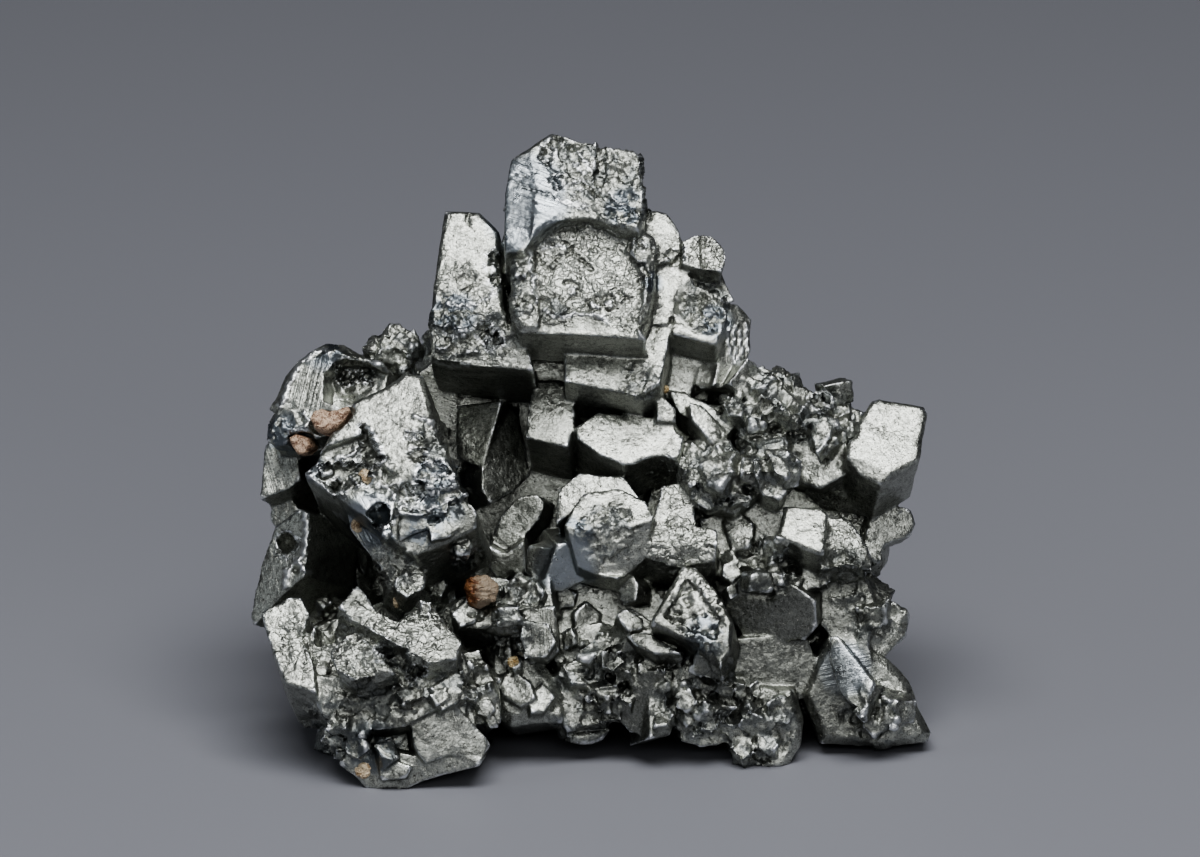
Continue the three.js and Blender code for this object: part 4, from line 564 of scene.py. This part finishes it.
def line_distance(x, up, line):
    """How far each point is from the line, as the viewer sees them."""
    nearest = np.full(len(x), np.inf)
    for (x1, up1), (x2, up2) in zip(line, line[1:]):
        run, rise = x2 - x1, up2 - up1
        along = np.clip(((x - x1) * run + (up - up1) * rise) / (run * run + rise * rise), 0, 1)
        nearest = np.minimum(nearest, np.hypot(x - x1 - along * run, up - up1 - along * rise))
    return nearest


def draw_strokes(mesh, surface):
    """Raises the ridges and sinks the grooves, and stores where they are."""
    points = vertex_places(mesh)
    view = seen(points)
    viewer = np.array(towards_viewer())
    ridge = np.zeros(len(points))
    groove = np.zeros(len(points))
    for line, half_width, height in STROKES:
        away = first_hit(surface, *line[len(line) // 2])
        if away is None:
            continue
        near = np.nonzero(np.abs(view[:, 1] - away) < STROKE_REACH)[0]
        x, _, up = view[near].T
        x = x + 0.1 * np.sin(up * 6.1) + 0.06 * np.sin(up * 13.7 + 1)
        up = up + 0.1 * np.sin(x * 6.7 + 2) + 0.06 * np.sin(x * 14.3)
        weight = 1 - soft_step(line_distance(x, up, line) / half_width, 0.3, 1.5)
        points[near] += viewer * (weight * height * MM)[:, None]
        marks = ridge if height > 0 else groove
        marks[near] = np.maximum(marks[near], weight)
    set_vertex_places(mesh, points)
    store(mesh, "ridge", ridge)
    store(mesh, "groove", groove)


def keep_in_box(mesh):
    """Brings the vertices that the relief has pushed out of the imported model's box back to it."""
    set_vertex_places(mesh, np.clip(vertex_places(mesh), *CAD_BOUNDS))


# Small helpers

def new_object(name, mesh):
    made = bpy.data.objects.new(name, mesh)
    bpy.context.scene.collection.objects.link(made)
    return made


def finished_mesh(made):
    """The object's mesh with its modifiers applied; the modifiers are removed."""
    bpy.context.view_layer.update()
    graph = bpy.context.evaluated_depsgraph_get()
    mesh = bpy.data.meshes.new_from_object(made.evaluated_get(graph), depsgraph=graph)
    made.modifiers.clear()
    made.data = mesh
    mesh.name = made.name
    return mesh


def remesh(made, size):
    modifier = made.modifiers.new("fuse", "REMESH")
    modifier.mode = "VOXEL"
    modifier.voxel_size = size
    modifier.adaptivity = 0
    return finished_mesh(made)


def joined(name, meshes):
    """One object of all these meshes, with any loose triangles merged."""
    work = bmesh.new()
    for mesh in meshes:
        work.from_mesh(mesh)
    bmesh.ops.remove_doubles(work, verts=work.verts, dist=MERGE_DISTANCE)
    mesh = bpy.data.meshes.new(name)
    work.to_mesh(mesh)
    work.free()
    return new_object(name, mesh)


class NodeTree:
    """A short way to build node trees: each call adds a node and links or sets its inputs."""

    def __init__(self, tree):
        self.tree = tree

    def add(self, kind, settings=None, **inputs):
        node = self.tree.nodes.new(kind)
        for key, value in (settings or {}).items():
            setattr(node, key, value)
        for key, value in inputs.items():
            name = key.replace("_", " ")
            socket = node.inputs[int(name[3:])] if name.startswith("in ") else node.inputs[name]
            self.feed(socket, value)
        return node

    def feed(self, socket, value):
        if isinstance(value, bpy.types.Node):
            value = next(out for out in value.outputs if out.enabled)
        if isinstance(value, bpy.types.NodeSocket):
            self.tree.links.new(value, socket)
        else:
            socket.default_value = value

    def math(self, operation, *values):
        node = self.tree.nodes.new("ShaderNodeMath")
        node.operation = operation
        for socket, value in zip(node.inputs, values):
            self.feed(socket, value)
        return node.outputs[0]

    def product(self, *values):
        result = values[0]
        for value in values[1:]:
            result = self.math("MULTIPLY", result, value)
        return result

    def vector(self, operation, first, second):
        node = self.tree.nodes.new("ShaderNodeVectorMath")
        node.operation = operation
        self.feed(node.inputs[0], first)
        self.feed(node.inputs["Scale"] if operation == "SCALE" else node.inputs[1], second)
        return next(out for out in node.outputs if out.enabled)

    def ramp(self, value, low, high, start=0.0, end=1.0):
        node = self.tree.nodes.new("ShaderNodeMapRange")
        node.interpolation_type = "SMOOTHSTEP"
        for name, number in (("From Min", low), ("From Max", high), ("To Min", start), ("To Max", end)):
            node.inputs[name].default_value = number
        self.feed(node.inputs["Value"], value)
        return node.outputs["Result"]

    def blend(self, share, first, second):
        node = self.add("ShaderNodeMix", {"data_type": "RGBA"})
        self.feed(node.inputs["Factor"], share)
        colours = [socket for socket in node.inputs if socket.type == "RGBA"]
        self.feed(colours[0], first)
        self.feed(colours[1], second)
        return next(socket for socket in node.outputs if socket.type == "RGBA")


def add_shape_nodes(made, name, sizes, build, finish):
    """Gives an object a Geometry Nodes tree with named number inputs, made by build(tree, inputs, finish)."""
    group = bpy.data.node_groups.new(name, "GeometryNodeTree")
    group.interface.new_socket("Geometry", in_out="INPUT", socket_type="NodeSocketGeometry")
    group.interface.new_socket("Geometry", in_out="OUTPUT", socket_type="NodeSocketGeometry")
    identifiers = {}
    for label, value in sizes.items():
        kind = "NodeSocketInt" if isinstance(value, int) else "NodeSocketFloat"
        socket = group.interface.new_socket(label, in_out="INPUT", socket_type=kind)
        identifiers[label] = socket.identifier
    tree = NodeTree(group)
    start = group.nodes.new("NodeGroupInput")
    end = group.nodes.new("NodeGroupOutput")
    result = build(tree, {socket.name: socket for socket in start.outputs if socket.name}, finish)
    tree.feed(end.inputs[0], result)
    modifier = made.modifiers.new(name, "NODES")
    modifier.node_group = group
    for label, value in sizes.items():
        modifier[identifiers[label]] = value


def with_finish(tree, geometry, finish):
    """The end of each shape tree: a plain mesh with its finish."""
    loose = tree.add("GeometryNodeRealizeInstances", Geometry=geometry)
    return tree.add("GeometryNodeSetMaterial", Geometry=loose, Material=finish)


def pushed_out(tree, inputs, height, finish):
    """The surface moved along its normals by this height."""
    normal = tree.add("GeometryNodeInputNormal")
    offset = tree.vector("SCALE", normal.outputs[0], height)
    moved = tree.add("GeometryNodeSetPosition", Geometry=inputs["Geometry"], Offset=offset)
    return with_finish(tree, moved, finish)


def place_in_mm(tree):
    position = tree.add("GeometryNodeInputPosition")
    return tree.vector("SCALE", position.outputs[0], 1 / MM)


# The crust of tiny crystals

LARGE_CRUST = {"Spacing": 2.6 * MM, "Smallest": 2.0 * MM, "Largest": 3.4 * MM, "Seed": 11}
FINE_CRUST = {"Spacing": 1.5 * MM, "Smallest": 0.8 * MM, "Largest": 1.8 * MM, "Seed": 4}


def zone(tree, name):
    return tree.add("GeometryNodeInputNamedAttribute", {"data_type": "FLOAT"}, Name=name).outputs["Attribute"]


def crust_nodes(tree, inputs, finish):
    points = tree.add(
        "GeometryNodeDistributePointsOnFaces",
        {"distribute_method": "POISSON"},
        Mesh=inputs["Geometry"],
        Distance_Min=inputs["Spacing"],
        Density_Max=5e5,
        Density_Factor=zone(tree, "crusted"),
        Seed=inputs["Seed"],
    )
    cube = tree.add("GeometryNodeMeshCube", Size=(1, 0.85, 0.7))
    turn = tree.add(
        "FunctionNodeRandomValue",
        {"data_type": "FLOAT_VECTOR"},
        in_0=(-0.3, -0.4, -0.6),
        in_1=(0.9, 0.6, 0.8),
        Seed=inputs["Seed"],
    )
    scale = tree.add(
        "FunctionNodeRandomValue",
        {"data_type": "FLOAT"},
        in_2=inputs["Smallest"],
        in_3=inputs["Largest"],
        Seed=tree.math("ADD", inputs["Seed"], 7.0),
    )
    cubes = tree.add(
        "GeometryNodeInstanceOnPoints",
        Points=points.outputs["Points"],
        Instance=cube.outputs["Mesh"],
        Rotation=turn.outputs[0],
        Scale=scale.outputs[1],
    )
    return with_finish(tree, cubes, finish)


# The relief of the surface

RELIEF = {
    "Dents": 0.26 * MM,
    "Worms": 0.2 * MM,
    "Breaks": 0.44 * MM,
    "Crumples": 0.6 * MM,
    "Pores": 0.6 * MM,
    "Chips": 0.8 * MM,
    "Stripes": 0.1 * MM,
    "Lowest": -1.1 * MM,
    "Highest": 0.36 * MM,
}


def noise(tree, position, size, detail=2.0, roughness=0.5):
    """Smooth noise whose bumps are about this many millimetres wide, between about -0.5 and 0.5."""
    node = tree.add("ShaderNodeTexNoise", Vector=position, Scale=1 / size, Detail=detail, Roughness=roughness)
    return tree.math("SUBTRACT", node.outputs[0], 0.5)


def facets(tree, position, size):
    """Small tilted facets about this many millimetres wide, like tiny crystals grown together."""
    cells = tree.add("ShaderNodeTexVoronoi", {"feature": "F1"}, Vector=position, Scale=1 / size)
    tilt = tree.vector("SUBTRACT", cells.outputs["Color"], (0.5, 0.5, 0.5))
    inside = tree.vector("SUBTRACT", position, cells.outputs["Position"])
    slope = tree.vector("DOT_PRODUCT", tree.vector("SCALE", inside, 2.2 / size), tilt)
    step = tree.add("ShaderNodeSeparateXYZ", Vector=tilt).outputs[2]
    return tree.math("ADD", slope, step)


def stripes(tree, along, spacing, roughness):
    """Uneven lines along the striated faces, about this many millimetres apart."""
    across = tree.add("ShaderNodeTexNoise", {"noise_dimensions": "1D"}, W=along, Scale=1 / spacing)
    across.inputs["Detail"].default_value = 3.0
    across.inputs["Roughness"].default_value = roughness
    return tree.math("SUBTRACT", across.outputs[0], 0.5)


def swirled(tree, in_mm):
    swirl = tree.add("ShaderNodeTexNoise", Vector=in_mm, Scale=0.8, Detail=2.0)
    return tree.vector("ADD", in_mm, tree.vector("SCALE", swirl.outputs["Color"], 1.6))


def relief_nodes(tree, inputs, finish):
    in_mm = place_in_mm(tree)
    warped = swirled(tree, in_mm)
    uneven = tree.math("SUBTRACT", 1.0, tree.product(zone(tree, "clean"), 0.8))

    height = tree.product(noise(tree, in_mm, 3.4, 4.0, 0.55), inputs["Dents"], uneven, 2.0)

    line = tree.math("ABSOLUTE", noise(tree, warped, 1.5, 1.0))
    groove = tree.math("SUBTRACT", tree.ramp(line, 0.0, 0.07), 1.0)
    broken_up = tree.ramp(noise(tree, in_mm, 1.8, 1.0), -0.06, 0.08)
    terraces = tree.math("SNAP", noise(tree, warped, 2.2, 3.0), 0.09)
    worms = tree.math("ADD", tree.product(groove, broken_up), tree.product(terraces, 4.0))
    height = tree.math("ADD", height, tree.product(worms, inputs["Worms"], zone(tree, "wormy")))

    inner = tree.math("SUBTRACT", 1.0, tree.product(zone(tree, "edge"), 0.6))
    breaks = tree.math("ADD", facets(tree, warped, 1.7), tree.product(facets(tree, warped, 0.7), 0.45))
    height = tree.math("ADD", height, tree.product(breaks, inputs["Breaks"], inner, zone(tree, "broken")))

    crumples = tree.math("ADD", facets(tree, warped, 3.2), tree.product(facets(tree, in_mm, 1.4), 0.3))
    height = tree.math("ADD", height, tree.product(crumples, inputs["Crumples"], zone(tree, "crumpled")))

    cells = tree.add("ShaderNodeTexVoronoi", {"feature": "SMOOTH_F1"}, Vector=warped, Scale=1.3)
    pores = tree.math("MINIMUM", tree.math("SUBTRACT", cells.outputs["Distance"], 0.42), 0.1)
    height = tree.math("ADD", height, tree.product(pores, inputs["Pores"], 2.0, zone(tree, "porous")))

    chips = tree.math("MINIMUM", tree.math("ADD", noise(tree, warped, 1.3, 3.0, 0.6), -0.02), 0.0)
    height = tree.math("ADD", height, tree.product(chips, inputs["Chips"], zone(tree, "edge")))

    lines = stripes(tree, zone(tree, "stripe"), 0.9, 0.6)
    height = tree.math("ADD", height, tree.product(lines, inputs["Stripes"], zone(tree, "striated")))
    height = tree.math("MAXIMUM", tree.math("MINIMUM", height, inputs["Highest"]), inputs["Lowest"])

    return pushed_out(tree, inputs, height, finish)


# Materials

FROSTED_DARK = (0.21, 0.215, 0.195, 1)
FROSTED_PALE = (0.52, 0.535, 0.495, 1)
POLISHED_DARK_BLUE = (0.20, 0.225, 0.25, 1)
POLISHED_STEEL = (0.41, 0.445, 0.475, 1)
BLUE_FACET = (0.13, 0.15, 0.17, 1)
# near-white colour of the painted highlight on outward edges and ridge crests
PAINTED_EDGE_HIGHLIGHT = (0.80, 0.82, 0.83, 1)
TARNISH_AND_PAINTED_SHADE = (0.12, 0.125, 0.112, 1)
# the colour of the painted shade in hollows, grooves and small pits
PAINTED_SHADE = (0.05, 0.05, 0.04, 1)
DUST = (0.62, 0.61, 0.57, 1)
METAL_ROUGHNESS = 0.37
METAL_BUMP = 0.13 * MM


def share_of(tree, name):
    return tree.add("ShaderNodeAttribute", {"attribute_name": name}).outputs["Fac"]


def new_finish(name):
    """A new material, its tree, its shader and the place on the piece in millimetres."""
    material = bpy.data.materials.new(name)
    material.use_nodes = True
    tree = NodeTree(material.node_tree)
    shader = material.node_tree.nodes["Principled BSDF"]
    place_on = tree.add("ShaderNodeTexCoord").outputs["Object"]
    return material, tree, shader, tree.vector("SCALE", place_on, 1 / MM)


def acanthite_material():
    material, tree, shader, in_mm = new_finish("acanthite_metal")
    warped = swirled(tree, in_mm)

    grain = noise(tree, in_mm, 0.15, 2.0, 0.7)
    mottle = noise(tree, in_mm, 2.4, 4.0, 0.6)
    patchy = noise(tree, in_mm, 0.6, 3.0, 0.6)
    streaks = tree.product(stripes(tree, share_of(tree, "stripe"), 0.35, 0.65), share_of(tree, "striated"))
    uneven = tree.math("ADD", tree.product(mottle, 0.35), tree.product(patchy, 0.45))
    uneven = tree.math("ADD", uneven, tree.product(streaks, 0.5))
    tone = tree.ramp(tree.math("ADD", tree.product(grain, 0.75), uneven), -0.26, 0.14)
    colour = tree.blend(tone, FROSTED_DARK, FROSTED_PALE)
    dusty = tree.ramp(noise(tree, in_mm, 0.26, 1.0), 0.19, 0.25)
    pitted = tree.ramp(noise(tree, in_mm, 0.34, 2.0), 0.19, 0.25)

    rough_zones = tree.math("MAXIMUM", share_of(tree, "broken"), share_of(tree, "crumpled"))
    cells = tree.add("ShaderNodeTexVoronoi", {"feature": "F1"}, Vector=warped, Scale=0.8)
    which = tree.add("ShaderNodeSeparateXYZ", Vector=cells.outputs["Color"])
    blue = tree.product(tree.ramp(which.outputs[0], 0.55, 0.75), rough_zones, 0.4)
    colour = tree.blend(blue, colour, BLUE_FACET)

    irregular = tree.ramp(noise(tree, warped, 1.6, 3.0), -0.09, 0.0)
    edge = share_of(tree, "edge")
    worn_band = tree.product(tree.ramp(edge, 0.05, 0.5), irregular, 0.35)
    evenly = tree.math("MAXIMUM", irregular, share_of(tree, "clean"))
    polished = tree.product(share_of(tree, "polished"), evenly)
    polished = tree.math("MAXIMUM", polished, worn_band)
    shine = tree.math("MAXIMUM", polished, tree.product(blue, 0.8))
    steel = tree.blend(share_of(tree, "clean"), POLISHED_DARK_BLUE, POLISHED_STEEL)
    colour = tree.blend(tree.product(polished, tree.ramp(grain, -0.3, 0.1, 0.6, 0.95)), colour, steel)
    # Tarnish, and painted shade where the zone lies in recesses, crevices and under overhangs: darkened
    # towards near black.
    colour = tree.blend(tree.product(share_of(tree, "tarnish_and_shade"), 0.5), colour, TARNISH_AND_PAINTED_SHADE)
    # Painted shade: the hollows along inward edges and the grooves are darkened.
    colour = tree.blend(tree.product(share_of(tree, "hollow"), 0.3), colour, PAINTED_SHADE)
    colour = tree.blend(tree.product(share_of(tree, "groove"), 0.45), colour, PAINTED_SHADE)
    colour = tree.blend(tree.product(dusty, 0.5), colour, DUST)
    # Painted shade in the small pits: they are darkened, except where the metal is polished.
    colour = tree.blend(tree.product(pitted, 0.7, tree.math("SUBTRACT", 1.0, shine)), colour, PAINTED_SHADE)
    # Painted highlight: parts of the outward edges, where they are also worn, and the crests of the ridges
    # are lightened to near white.
    wear_and_highlight_patches = tree.ramp(noise(tree, in_mm, 1.1, 3.0), -0.16, 0.04)
    painted_highlight = tree.math("MAXIMUM", tree.product(tree.ramp(edge, 0.2, 0.65), wear_and_highlight_patches), share_of(tree, "ridge"))
    colour = tree.blend(tree.product(painted_highlight, 0.8), colour, PAINTED_EDGE_HIGHLIGHT)
    tree.feed(shader.inputs["Base Color"], colour)

    dull = tree.math("SUBTRACT", 0.96, tree.product(dusty, 0.6))
    tree.feed(shader.inputs["Metallic"], dull)
    roughness = tree.math("ADD", METAL_ROUGHNESS, tree.product(mottle, 0.25))
    roughness = tree.math("SUBTRACT", roughness, tree.product(shine, 0.06))
    roughness = tree.math("ADD", roughness, tree.product(rough_zones, 0.07))
    tree.feed(shader.inputs["Roughness"], roughness)

    scales = tree.add("ShaderNodeTexVoronoi", {"feature": "DISTANCE_TO_EDGE"}, Vector=warped, Scale=1.1)
    scales = tree.product(tree.ramp(scales.outputs[0], 0.0, 0.16), share_of(tree, "wormy"), 0.35)
    contours = tree.math("SNAP", noise(tree, warped, 1.7, 3.0, 0.55), 0.06)
    contours = tree.product(contours, 6.0, share_of(tree, "wormy"))
    tiny = tree.product(facets(tree, in_mm, 0.4), 0.22)
    small = tree.product(facets(tree, warped, 1.3), rough_zones, 0.8)
    fine = tree.product(noise(tree, in_mm, 0.5, 3.0, 0.6), 0.8)
    fine = tree.math("ADD", fine, tree.math("ADD", tiny, small))
    fine = tree.math("ADD", fine, tree.math("ADD", contours, scales))
    fine = tree.math("SUBTRACT", fine, tree.product(pitted, 0.5))
    flat = tree.math("SUBTRACT", 1.0, tree.product(polished, 0.55))
    fine = tree.math("ADD", tree.product(fine, flat), tree.product(streaks, 0.7))
    bump = tree.add("ShaderNodeBump", Strength=1.0, Distance=METAL_BUMP, Height=fine)
    tree.feed(shader.inputs["Normal"], bump.outputs[0])
    return material


def mineral_material(name, dark, pale, clearness=0.0, right_side=None):
    """A streaked mineral that lets this share of the light through, with another tone on its right side."""
    material, tree, shader, in_mm = new_finish(name)
    stretched = tree.vector("MULTIPLY", swirled(tree, in_mm), (1.0, 1.0, 3.6))
    streaks = noise(tree, stretched, 1.4, 3.0, 0.6)
    specks = noise(tree, in_mm, 0.16, 2.0, 0.6)
    tone = tree.ramp(tree.math("ADD", streaks, tree.product(specks, 0.8)), -0.2, 0.16)
    colour = tree.blend(tone, dark, pale)
    if right_side:
        start, end, other = right_side
        across = tree.add("ShaderNodeSeparateXYZ", Vector=in_mm).outputs[0]
        share = tree.ramp(tree.math("ADD", across, tree.product(streaks, 3.0)), start, end)
        colour = tree.blend(tree.product(share, 0.8), colour, other)
    tree.feed(shader.inputs["Base Color"], colour)
    tree.feed(shader.inputs["Roughness"], tree.ramp(specks, -0.2, 0.2, 0.28, 0.5))
    shader.inputs["Specular IOR Level"].default_value = 0.7
    shader.inputs["Transmission Weight"].default_value = clearness
    shader.inputs["IOR"].default_value = 1.54
    height = tree.math("ADD", tree.product(streaks, 3.0), specks)
    bump = tree.add("ShaderNodeBump", Strength=0.8, Distance=0.2 * MM, Height=height)
    tree.feed(shader.inputs["Normal"], bump.outputs[0])
    return material


def plain_material(name, colour, roughness):
    material = bpy.data.materials.new(name)
    material.use_nodes = True
    shader = material.node_tree.nodes["Principled BSDF"]
    shader.inputs["Base Color"].default_value = (*colour, 1)
    shader.inputs["Roughness"].default_value = roughness
    return material


# The cluster, made as one surface and then parted along plain cuts so that no piece is too heavy

def cut(mesh, name, planes):
    """The part of the surface on the positive side of each plane, closed where it is cut."""
    work = bmesh.new()
    work.from_mesh(mesh)
    for point, normal in planes:
        bmesh.ops.bisect_plane(
            work,
            geom=work.verts[:] + work.edges[:] + work.faces[:],
            dist=CUT_TOLERANCE,
            plane_co=point,
            plane_no=normal,
            clear_inner=True,
        )
        rim = [edge for edge in work.edges if edge.is_boundary]
        for edge in rim:
            edge.smooth = False  # the surface's shading stops at the cut
        cap = bmesh.ops.holes_fill(work, edges=rim, sides=0)["faces"]
        bmesh.ops.triangulate(work, faces=cap, quad_method="BEAUTY", ngon_method="EAR_CLIP")
    part = bpy.data.meshes.new(name)
    work.to_mesh(part)
    work.free()
    return new_object(name, part)


def thin_out(made, triangles):
    faces = sum(len(polygon.vertices) - 2 for polygon in made.data.polygons)
    if faces > triangles:
        modifier = made.modifiers.new("thin", "DECIMATE")
        modifier.ratio = triangles / faces
        modifier.use_collapse_triangulate = True
        finished_mesh(made)


def grow_body(metal):
    """The whole cluster as one surface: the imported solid, small crystals, broken places and relief."""
    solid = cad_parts["crystal_cluster"].data
    crust = joined("crust_of_tiny_crystals", [solid])
    remesh(crust, COARSE_GRAIN)
    mark_zones(crust.data)
    grown = []
    for sizes in (LARGE_CRUST, FINE_CRUST):
        carrier = new_object("crust", crust.data.copy())
        add_shape_nodes(carrier, "crust_of_tiny_crystals", sizes, crust_nodes, metal)
        grown.append(finished_mesh(carrier))
        bpy.data.objects.remove(carrier)
    surface = BVHTree.FromObject(crust, bpy.context.evaluated_depsgraph_get())
    grown += [mesh for mesh in (shard_mesh(surface, *shard) for shard in SHARDS) if mesh]
    bpy.data.objects.remove(crust)
    body = joined("acanthite_body", [solid, *grown])
    remesh(body, FINE_GRAIN)
    press_bites(body.data, surface)
    mark_zones(body.data)
    mark_edges(body.data)
    draw_strokes(body.data, surface)
    add_shape_nodes(body, "surface_relief", RELIEF, relief_nodes, metal)
    finished_mesh(body)
    keep_in_box(body.data)
    thin_out(body, SURFACE_TRIANGLES)
    return body


def make_cluster():
    metal = acanthite_material()
    body = grow_body(metal)
    viewer = towards_viewer()
    right = Vector((1, 0, 0))
    sky = right.cross(-viewer)
    rear = (place(0, REAR_STARTS, 0), -viewer)
    front = (place(0, REAR_STARTS, 0), viewer)
    middle = place(-2.7, 0, 0)
    waist = place(0, 0, -4.3)
    parts = {
        "rear_right_side": [rear, (middle, right)],
        "rear_left_side": [rear, (middle, -right)],
        "upper_display_side": [front, (waist, sky)],
        "lower_left_display_side": [front, (waist, -sky), (middle, -right)],
        "lower_right_display_side": [front, (waist, -sky), (middle, right)],
    }
    for name, planes in parts.items():
        part = cut(body.data, name, planes)
        part.data.materials.clear()
        part.data.materials.append(metal)
        part.data.shade_smooth()
        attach(part, "root")
        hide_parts("crystal_cluster")
    surface = BVHTree.FromObject(body, bpy.context.evaluated_depsgraph_get())
    bpy.data.objects.remove(body)
    return surface


# The small grains of other minerals

GRAIN_RELIEF = {"Lumps": 0.3 * MM, "Facets": 0.0, "Streaks": 0.16 * MM}
ANGULAR_RELIEF = {"Lumps": 0.36 * MM, "Facets": 0.16 * MM, "Streaks": 0.0}
SPLINTERY_RELIEF = {"Lumps": 0.9 * MM, "Facets": 0.12 * MM, "Streaks": 0.3 * MM}

AMBER_CLEARNESS = 0.2
# Between which places, in millimetres to the right, the amber grain takes on its other tone.
AMBER_RIGHT_SIDE = (-11.9, -10.9, (0.50, 0.43, 0.33, 1))

# Specks that lie on the display side: where the viewer sees them, their width, height and depth, and their
# finish, in millimetres.
SPECKS = {
    "tan_speck_in_recess": ((-23.2, -4.9), (1.9, 1.7, 1.2), "tan_mineral"),
    "tan_speck_on_lower_face": ((-24.2, -9.6), (1.2, 1.5, 0.9), "tan_mineral"),
    "tan_speck_over_foot": ((-20.3, -17.3), (0.7, 1.2, 0.7), "tan_mineral"),
    "pale_chip_on_toe": ((-23.5, -34.0), (1.5, 1.7, 0.8), "tan_mineral"),
    "golden_speck_on_step": ((6.5, 3.9), (0.8, 0.7, 0.6), "golden_mineral"),
    "golden_speck_on_hump": ((-8.6, -23.3), (1.2, 1.3, 0.8), "golden_mineral"),
}


def grain_relief_nodes(tree, inputs, finish):
    in_mm = place_in_mm(tree)
    warped = swirled(tree, in_mm)
    height = tree.product(noise(tree, in_mm, 1.0, 3.0, 0.55), inputs["Lumps"])
    height = tree.math("ADD", height, tree.product(facets(tree, warped, 0.8), inputs["Facets"]))
    stretched = tree.vector("MULTIPLY", warped, (1.0, 1.0, 3.2))
    height = tree.math("ADD", height, tree.product(noise(tree, stretched, 0.9, 2.0), inputs["Streaks"]))
    return pushed_out(tree, inputs, height, finish)


def finish_grain(made, relief, finish):
    add_shape_nodes(made, "grain_relief", relief, grain_relief_nodes, finish)
    finished_mesh(made)
    made.data.shade_smooth()
    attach(made, "root")


def make_grain(node, name, rounding, relief, finish):
    """A grain with its corners rounded off this many times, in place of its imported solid."""
    made = joined(name, [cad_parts[node].data])
    remesh(made, GRAIN_MESH)
    smooth = made.modifiers.new("rounding", "SMOOTH")
    smooth.factor = 0.5
    smooth.iterations = rounding
    finished_mesh(made)
    finish_grain(made, relief, finish)
    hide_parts(node)


def make_speck(name, surface, spot, size, finish):
    away = first_hit(surface, *spot)
    work = bmesh.new()
    bmesh.ops.create_icosphere(work, subdivisions=4, radius=0.5)
    wide, high, deep = size
    for vertex in work.verts:
        x, y, z = vertex.co
        vertex.co = place(spot[0] + x * wide, away + y * deep, spot[1] + z * high)
    bmesh.ops.recalc_face_normals(work, faces=work.faces[:])
    mesh = bpy.data.meshes.new(name)
    work.to_mesh(mesh)
    work.free()
    finish_grain(new_object(name, mesh), ANGULAR_RELIEF, finish)


def make_grains(surface):
    brown = mineral_material("brown_mineral", (0.19, 0.10, 0.06, 1), (0.74, 0.56, 0.42, 1))
    amber = mineral_material(
        "amber_mineral", (0.16, 0.05, 0.018, 1), (0.46, 0.22, 0.09, 1), AMBER_CLEARNESS, AMBER_RIGHT_SIDE
    )
    finishes = {
        "tan_mineral": mineral_material("tan_mineral", (0.30, 0.20, 0.11, 1), (0.80, 0.68, 0.50, 1)),
        "golden_mineral": mineral_material("golden_mineral", (0.42, 0.25, 0.08, 1), (0.85, 0.72, 0.46, 1)),
    }
    make_grain("brown_blade", "brown_mineral_blade", 22, GRAIN_RELIEF, brown)
    make_grain("brown_wedge", "brown_mineral_wedge", 8, GRAIN_RELIEF, brown)
    make_grain("amber_grain", "amber_mineral_grain", 1, SPLINTERY_RELIEF, amber)
    for name, (spot, size, finish) in SPECKS.items():
        make_speck(name, surface, spot, size, finishes[finish])


# The floor and the light

def make_stage():
    bpy.ops.mesh.primitive_plane_add(size=6, location=(0, 0, 0))
    floor = bpy.context.object
    floor.name = "pale_floor"
    floor.data.materials.append(plain_material("floor_paint", FLOOR_COLOUR, 0.6))


# Where each softbox stands, its width and height in metres, its watts and its colour.
SOFTBOXES = {
    "top_softbox": ((0.04, -0.27, 0.66), (0.6, 0.4), 4.0, (1, 1, 1)),
    "front_softbox": ((0.12, -0.95, 0.46), (1.1, 0.22), 1.9, (1, 1, 1)),
    "left_softbox": ((-0.8, -0.3, 0.35), (0.35, 0.5), 0.45, (0.9, 0.95, 1)),
}
FLOOR_COLOUR = (0.29, 0.295, 0.325)
SKY_COLOUR = (0.30, 0.31, 0.34, 1)
SKY_STRENGTH = 0.2


def make_softbox(name, at, size, watts, colour):
    data = bpy.data.lights.new(name, "AREA")
    data.shape = "RECTANGLE"
    data.size, data.size_y = size
    data.energy = watts
    data.color = colour
    lamp = bpy.data.objects.new(name, data)
    bpy.context.scene.collection.objects.link(lamp)
    lamp.location = at
    lamp.rotation_euler = (VIEW_MIDDLE - Vector(at)).to_track_quat("-Z", "Y").to_euler()


def make_light():
    for name, softbox in SOFTBOXES.items():
        make_softbox(name, *softbox)
    world = bpy.data.worlds.new("studio")
    bpy.context.scene.world = world
    world.use_nodes = True
    background = world.node_tree.nodes["Background"]
    background.inputs["Color"].default_value = SKY_COLOUR
    background.inputs["Strength"].default_value = SKY_STRENGTH
    bpy.context.scene.view_settings.look = "AgX - High Contrast"


make_camera()
make_stage()
make_light()
make_grains(make_cluster())
